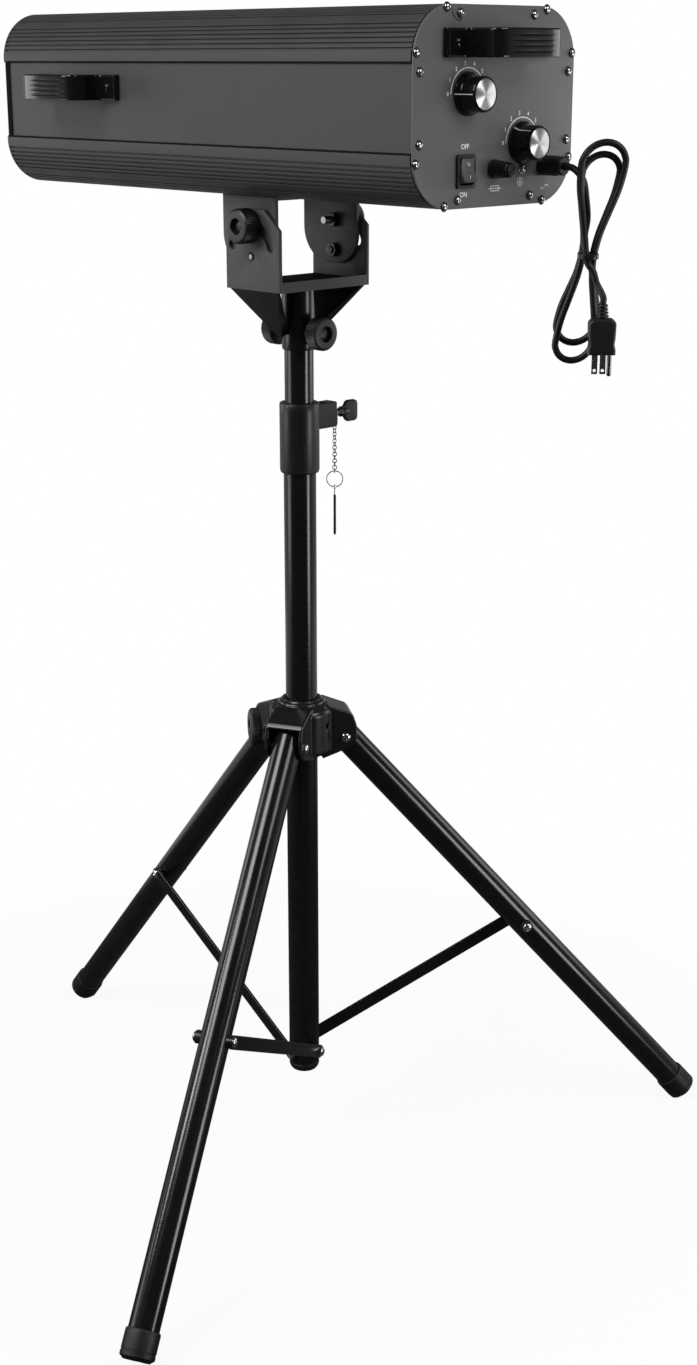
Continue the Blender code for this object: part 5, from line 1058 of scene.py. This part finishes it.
# Stand tubes, end plug and clamp collar
piece("column_tube", tube(17.5, 15.8, 95, 868.7), "column", tube_paint, ["lower_tube"], MAST)
piece("mast_tube", tube(15.5, 14, 394, 994), "mast", tube_paint, ["upper_tube"], MAST)
plug_profile = [(0, 83.7), (8.5, 83.8), (12, 84.6), (14.8, 86.2), (16.6, 88.6), (17.5, 91.5)]
plug_profile += [(17.5, 94.4), (17.2, 94.7), (15.5, 94.7), (15.5, 106), (0, 106)]
piece("column_end_cap", turned(plug_profile), "column", satin_black, ["tube_end_plug"], MAST)
brace_studs = [foot @ at(0, 21.3, 0) @ FACING["Y"] @ spin(k) for k, foot in enumerate(BRACE_FEET)]
stud_heads = copies(cross_screw(*BRACE_BOLT), brace_studs)
stud_pins = copies(rod(3, 16.3, 21.5, "Y", 24), BRACE_FEET)
piece("column_studs", together(stud_heads, stud_pins), "column", chrome)
COLLAR_TOP = 875
collar = [
    (17.8, 799.7), (19.6, 799.7), (20.5, 800.4), (21.3, 803), (21.3, 865.5), (21.3, COLLAR_TOP - 1.6),
    (20.8, COLLAR_TOP - 0.6), (19.8, COLLAR_TOP), (15.8, COLLAR_TOP), (15.8, COLLAR_TOP - 6),
    (17.8, COLLAR_TOP - 6),
]
ear = block((19.6, -7.5, COLLAR_TOP - 31.7), (48, 7.5, COLLAR_TOP - 4), 1.6)
hollow = prism([(x + 26.4, y) for x, y in stadium(6.2, 4.4)], COLLAR_TOP - 8, COLLAR_TOP + 10)
clamp_collar = carved(turned(collar, ring=True), [ear], [hollow])
piece("clamp_collar", clamp_collar, "column", satin_black, ["tube_collar"], MAST, 30)

# Wing screw
SCREW_HEIGHT = COLLAR_TOP - 17.85
NECK = 55
WING = 59.2
HALF_WING = 11.5
wing_outline = [
    (WING, -0.45 * HALF_WING), (WING + 5.8, -0.5 * HALF_WING), (WING + 8.5, -0.85 * HALF_WING),
    (WING + 11, -HALF_WING), (WING + 20.8, -HALF_WING), (WING + 23.8, -0.85 * HALF_WING),
    (WING + 24.8, -0.6 * HALF_WING),
]
wing_outline += [(u, -v) for u, v in reversed(wing_outline)]
SCREW = MAST @ at(0, 0, SCREW_HEIGHT)
neck = [(0, NECK), (3.4, NECK), (3.6, NECK + 1.8), (5, WING), (5.2, WING + 6)]
neck = turned([*neck, (3.6, WING + 12), (0, WING + 12)], "X", 40)
wing = together(plate([wing_outline], -3, 3, "Y", 1.4, 4), neck)
piece("wing_grip", wing, "collar_screw", satin_black, ["collar_screw"], SCREW, 50)
piece("wing_bolt", shank(3, 26.2, NECK + 2, "X"), "collar_screw", zinc, place=SCREW)

# Safety chain, split ring and locking pin
CHAIN_REACH = 51.5
WIRE = 0.5
loop_length = 18.1
chain_links = 14
link_pitch = 3.657
link_width = 4.2
RING_HEADING = radians(136.1)
CHAIN = MAST @ at(CHAIN_REACH, 0, SCREW_HEIGHT + 3.8)
chain = [wire_loop(loop_length, 8.6, 0.45, pi / 2, -loop_length / 2)]
for k in range(1, chain_links + 1):
    heading = pi / 2 + k * (pi / 2 + (RING_HEADING - pi) / (chain_links + 1))
    middle = -loop_length - (k - 0.5) * link_pitch
    chain.append(wire_loop(link_pitch + 2 * WIRE, link_width, 0.48, heading, middle))
lowest = -loop_length - chain_links * link_pitch
piece("chain_links", together(*chain), "chain", dark_nickel, ["safety_chain"], CHAIN)
RING_RADIUS = 8.8
RING = CHAIN @ at(0, 0, lowest + WIRE + FIT + 0.7)
turn = wire_loop(2 * RING_RADIUS, 2 * RING_RADIUS, WIRE, RING_HEADING, -RING_RADIUS, 10, 28)
second_turn = at(0.7 * sin(RING_HEADING), -0.7 * cos(RING_HEADING), 0)
rings = copies(turn, [Matrix.Identity(4), second_turn])
piece("key_ring", rings, "pin", dark_nickel, ["split_ring"], RING)
EYE = 4.4
pin_top = -2 * RING_RADIUS + 0.7 + FIT + 0.9 - EYE
pin_neck = turned([(0, -6.6), (1.1, -6.6), (1.1, -0.2), (0, 0.5)], steps=24)
eye = wire_loop(EYE, EYE, 0.8, RING_HEADING + pi / 2, EYE / 2)
piece("pin_eye", together(pin_neck, eye), "pin", chrome, place=RING @ at(0, 0, pin_top))
pin = [(0, -51), (0.7, -51), (1.2, -50.2), (1.45, -48.7), (1.45, -6.8), (1.2, -6), (0, -6)]
piece("lock_pin", turned(pin, steps=28), "pin", satin_black, ["locking_pin"], RING @ at(0, 0, pin_top))

# Hub: a casting with three channel arms on the tube, bright bolts and a clamp knob
HUB_BORE = 17.8
HUB_CORE = 22
CORE_TOP = 51
CORE_FOOT = -24
RING_TOP = 44.5
core = [
    (HUB_BORE, CORE_FOOT), (HUB_CORE, CORE_FOOT), (HUB_CORE, RING_TOP - 8),
    (HUB_CORE + 3.2, RING_TOP - 8), (HUB_CORE + 3.2, RING_TOP - 3.2), (HUB_CORE, RING_TOP - 2),
    (HUB_CORE, RING_TOP), (HUB_BORE, RING_TOP),
]
arm_inside = 0.5 * (HUB_BORE + HUB_CORE)
arm_outline = [
    (arm_inside, CORE_TOP - 13), (HUB_CORE + 5, CORE_TOP - 13), (HUB_REACH + 5.8, CORE_TOP - 22.9),
    (HUB_REACH + 9.5, CORE_TOP - 26.8), (HUB_REACH + 13, CORE_TOP - 38),
    (HUB_REACH + 13, CORE_TOP - 53), (HUB_REACH + 10, CORE_TOP - 59), (HUB_REACH + 4, CORE_TOP - 64),
    (arm_inside, CORE_FOOT),
]
channel = [
    (HUB_CORE + 1, CORE_FOOT - 20), (HUB_CORE + 1, CORE_TOP - 17.5), (HUB_CORE + 5, CORE_TOP - 17.5),
    (HUB_REACH + 33, CORE_TOP - 17.5 - 0.40 * (HUB_REACH - HUB_CORE + 28)),
    (HUB_REACH + 33, CORE_FOOT - 20),
]
skirt = [
    (32, -15), (36, -15), (36, 30.5), (33.8, 34.5), (26.5, 38.5), (arm_inside, 39.5), (arm_inside, 28),
    (32, 28),
]
set_screw = moved(rod(2.6, 29, 40, "X", 24), at(0, 0, 16) @ spin(radians(-78.5)))
HALF_ARM = 21.5
boss_turn = at(0, 0, 12) @ spin(radians(147.0))
HALF_CHANNEL = HALF_ARM - 4
joins = [moved(prism(arm_outline, -HALF_ARM, HALF_ARM, "Y"), spin(h)) for h in LEG_HEADINGS]
joins.append(moved(rod(9, arm_inside, 38.5, "X", 40), boss_turn))
joins.append(turned(skirt, ring=True))
cuts = [moved(prism(channel, -HALF_CHANNEL, HALF_CHANNEL, "Y"), spin(h)) for h in LEG_HEADINGS]
casting = carved(turned(core, steps=48, ring=True), joins, [*cuts, set_screw], voxel=0.8, rounds=14)
piece("hub_casting", casting, "hub", hub_paint, ["hub"], HUB, 180)
hub_bolts = []
for k, arm in enumerate(ARMS):
    for side, facing in ((1, "Y"), (-1, "-Y")):
        seat = arm @ at(HUB_REACH, side * (HALF_ARM - 0.2), 0)
        hub_bolts.append(seat @ FACING[facing] @ spin(0.9 * k + side))
piece("hub_bolts", copies(cross_screw(5.5, 3.7), hub_bolts), "hub", chrome)
hub_pins = copies(rod(4, -HALF_ARM, HALF_ARM, "Y", 24), [arm @ at(HUB_REACH, 0, 0) for arm in ARMS])
piece("hub_pins", hub_pins, "hub", zinc)
BOSS = HUB @ boss_turn @ at(47, 0, 0)
piece("hub_grip", grip(21, 12, 8.4, 1.5, 60, 0.9, "X"), "hub_knob", knob_black, ["hub_knob"], BOSS, 30)
piece("hub_bolt", shank(3, -28.8, 1, "X"), "hub_knob", bright_aluminium, place=BOSS)
piece("hub_lock_nut", hexagon(5.8, -16.2, -12.2), "hub_knob", bright_aluminium, place=BOSS)

# Legs with rubber feet, and braces
FOOT_RADIUS = 18
FOOT_HEIGHT = 30
FOOT_SINK = 1
foot_tread = ((0.75 * FOOT_RADIUS, 0), (FOOT_RADIUS, 0.12 * FOOT_HEIGHT))
foot_dip = max(r * sin(LEG_LEAN) - h * cos(LEG_LEAN) for r, h in foot_tread)
LEG_LENGTH = (HUB_HEIGHT + FOOT_SINK - foot_dip) / cos(LEG_LEAN)
foot = [
    (0, 0), *foot_tread, (FOOT_RADIUS, 7.5), (17.6, 8), (17.6, 9.2), (FOOT_RADIUS, 9.7), (FOOT_RADIUS, 27),
    (17.8, 28.5), (17.2, 29.7), (16.3, FOOT_HEIGHT), (16.3, 6), (0, 6),
]
spacer = [(0, 14), (7.2, 14), (7.2, 17.1), (6.6, 17.7), (0, 17.7)]
outer_spacer = [(0, 14), (7.2, 14), (7.2, 20.9), (6.6, 21.5), (0, 21.5)]
for k, leg in enumerate(LEGS):
    label = k + 1
    body = f"leg_{label}"
    brace = f"brace_{label}"
    piece(f"leg_tube_{label}", tube(16, 14.8, -LEG_LENGTH + 6.3, 14), body, tube_paint, [body], leg)
    bushes = together(turned(spacer, "Y", 32), turned(outer_spacer, "-Y", 32))
    pivot = leg @ at(0, 0, -BRACE_ALONG_LEG)
    piece(f"leg_bushes_{label}", bushes, body, satin_black, place=pivot)
    bolt_head = moved(cross_screw(*BRACE_BOLT), at(0, -21.4, 0) @ FACING["-Y"] @ spin(k + 0.3))
    piece(f"leg_bolt_{label}", bolt_head, body, chrome, place=pivot)
    foot_shape = moved(turned(foot), leg @ at(0, 0, -LEG_LENGTH))
    for vertex in foot_shape.verts:
        vertex.co.z = max(vertex.co.z, 0)
    piece(f"rubber_foot_{label}", foot_shape, body, foot_rubber, [f"foot_{label}"], smooth=30)
    bar_plate = plate([stadium(BRACE_LENGTH, 7.5), circle((0, 0), 3.3, 24)], 18, 21, "Y", 0.6)
    piece(f"brace_bar_{label}", bar_plate, brace, tube_paint, [brace], BRACES[k])
    head = moved(cross_screw(*BRACE_BOLT), at(BRACE_LENGTH, 20.9, 0) @ FACING["Y"] @ spin(1.3 * k))
    piece(f"brace_bolt_{label}", head, brace, chrome, place=BRACES[k])

# Floor: white where the camera looks at it, with a faint shadow near the feet
TO_CAMERA = (-0.69, -0.72, 0)
WHITE = (1, 1, 1, 1)
FLOOR_RADIUS = 2.3
floor_shape = bmesh.new()
bmesh.ops.create_circle(floor_shape, cap_ends=True, segments=96, radius=FLOOR_RADIUS)
floor_mesh = bpy.data.meshes.new("floor")
floor_shape.to_mesh(floor_mesh)
floor_shape.free()
floor = bpy.data.objects.new("floor", floor_mesh)
scene.collection.objects.link(floor)
floor.location = (0, 0, -0.0005)
floor_look = bpy.data.materials.new("pale_floor")
floor_look.use_nodes = True
floor_mesh.materials.append(floor_look)
tree = floor_look.node_tree
path = tree.nodes.new("ShaderNodeLightPath").outputs
place = tree.nodes.new("ShaderNodeTexCoord").outputs["Object"]
distance = computed(tree, "LENGTH", place, kind="ShaderNodeVectorMath")["Value"]
toward = computed(tree, "DOT_PRODUCT", place, TO_CAMERA, kind="ShaderNodeVectorMath")["Value"]
white_share = ranged(tree, distance, 0.45, 1.0, 0.92, 1.0, smooth=True)
# In glossy surfaces the floor shows as a glow: a painted reflection, dim towards the camera and brighter far
# behind
behind = ranged(tree, distance, 1.1, 1.9, 0.06, 0.7)
mirrored = ranged(tree, toward, -0.3, 0.9, behind, 0.03, smooth=True)
strength = computed(tree, "MAXIMUM", mirrored, path["Is Camera Ray"])[0]
glow = new_node(tree, "ShaderNodeEmission", Color=WHITE, Strength=strength)
shader = tree.nodes["Principled BSDF"]
tone = ranged(tree, path["Is Camera Ray"], 0, 1, 0.34, 0.8)
for name, value in (("Base Color", tone), ("Roughness", 0.9), ("Specular IOR Level", 0)):
    feed(tree, value, shader.inputs[name])
mix = tree.nodes.new("ShaderNodeMixShader")
shown = computed(tree, "MULTIPLY_ADD", white_share, path["Is Camera Ray"], path["Is Glossy Ray"])[0]
for value, socket in zip((shown, shader.outputs[0], glow.outputs[0]), mix.inputs):
    feed(tree, value, socket)
feed(tree, mix.outputs[0], tree.nodes["Material Output"].inputs["Surface"])

# World: white to look at, soft light from above, and a dark side behind the camera
world = bpy.data.worlds.new("studio")
world.use_nodes = True
scene.world = world
tree = world.node_tree
path = tree.nodes.new("ShaderNodeLightPath").outputs
heading = tree.nodes.new("ShaderNodeTexCoord").outputs["Generated"]
height = new_node(tree, "ShaderNodeSeparateXYZ", Vector=heading).outputs["Z"]
toward = computed(tree, "DOT_PRODUCT", heading, TO_CAMERA, kind="ShaderNodeVectorMath")["Value"]
sky = ranged(tree, height, -0.5, 0.6, 0.12, 0.34, smooth=True)
behind = ranged(tree, height, 0.02, 0.26, 0.45, 0.08)
mirrored = ranged(tree, toward, -0.35, 0.7, behind, 0.03, smooth=True)
lit = ranged(tree, path["Is Glossy Ray"], 0, 1, sky, mirrored)
white = computed(tree, "MAXIMUM", path["Is Camera Ray"], path["Is Transmission Ray"])[0]
background = tree.nodes["Background"]
background.inputs["Color"].default_value = WHITE
feed(tree, computed(tree, "MAXIMUM", lit, white)[0], background.inputs["Strength"])

# Soft boxes at both sides, and low cards that only show in glossy surfaces
LAMPS = (
    ("left_box", (-2.09, 1.16, 1.62), 0.6, 0.5, 13, True, True),
    ("high_left_box", (-1.8, 0.2, 2.6), 1.2, 1.2, 40, True, True),
    ("high_right_box", (0.45, -2.25, 2.45), 1.1, 1.1, 19, True, True),
    ("right_box", (1.25, -2.0, 1.15), 0.8, 0.8, 11, True, False),
    ("left_card", (-1.79, 1.18, 0.45), 1.0, 0.6, 4.5, False, True),
    ("front_card", (-0.8, 1.98, 1.1), 0.7, 1.0, 5, False, True),
    ("right_card", (2.05, -0.95, 1.05), 1.0, 1.1, 7, False, True),
    ("right_strip", (0.72, -2.18, 0.42), 0.55, 0.8, 10, False, True),
)
aim = Vector((MM * mast_x, MM * mast_y, 0.9))
for name, place, width, tall, power, lights, shines in LAMPS:
    data = bpy.data.lights.new(name, "AREA")
    data.shape = "RECTANGLE"
    data.size = width
    data.size_y = tall
    data.energy = power
    lamp = bpy.data.objects.new(name, data)
    scene.collection.objects.link(lamp)
    lamp.location = place
    lamp.rotation_euler = (aim - Vector(place)).to_track_quat("-Z", "Y").to_euler()
    lamp.visible_camera = False
    lamp.visible_diffuse = lights
    lamp.visible_glossy = shines
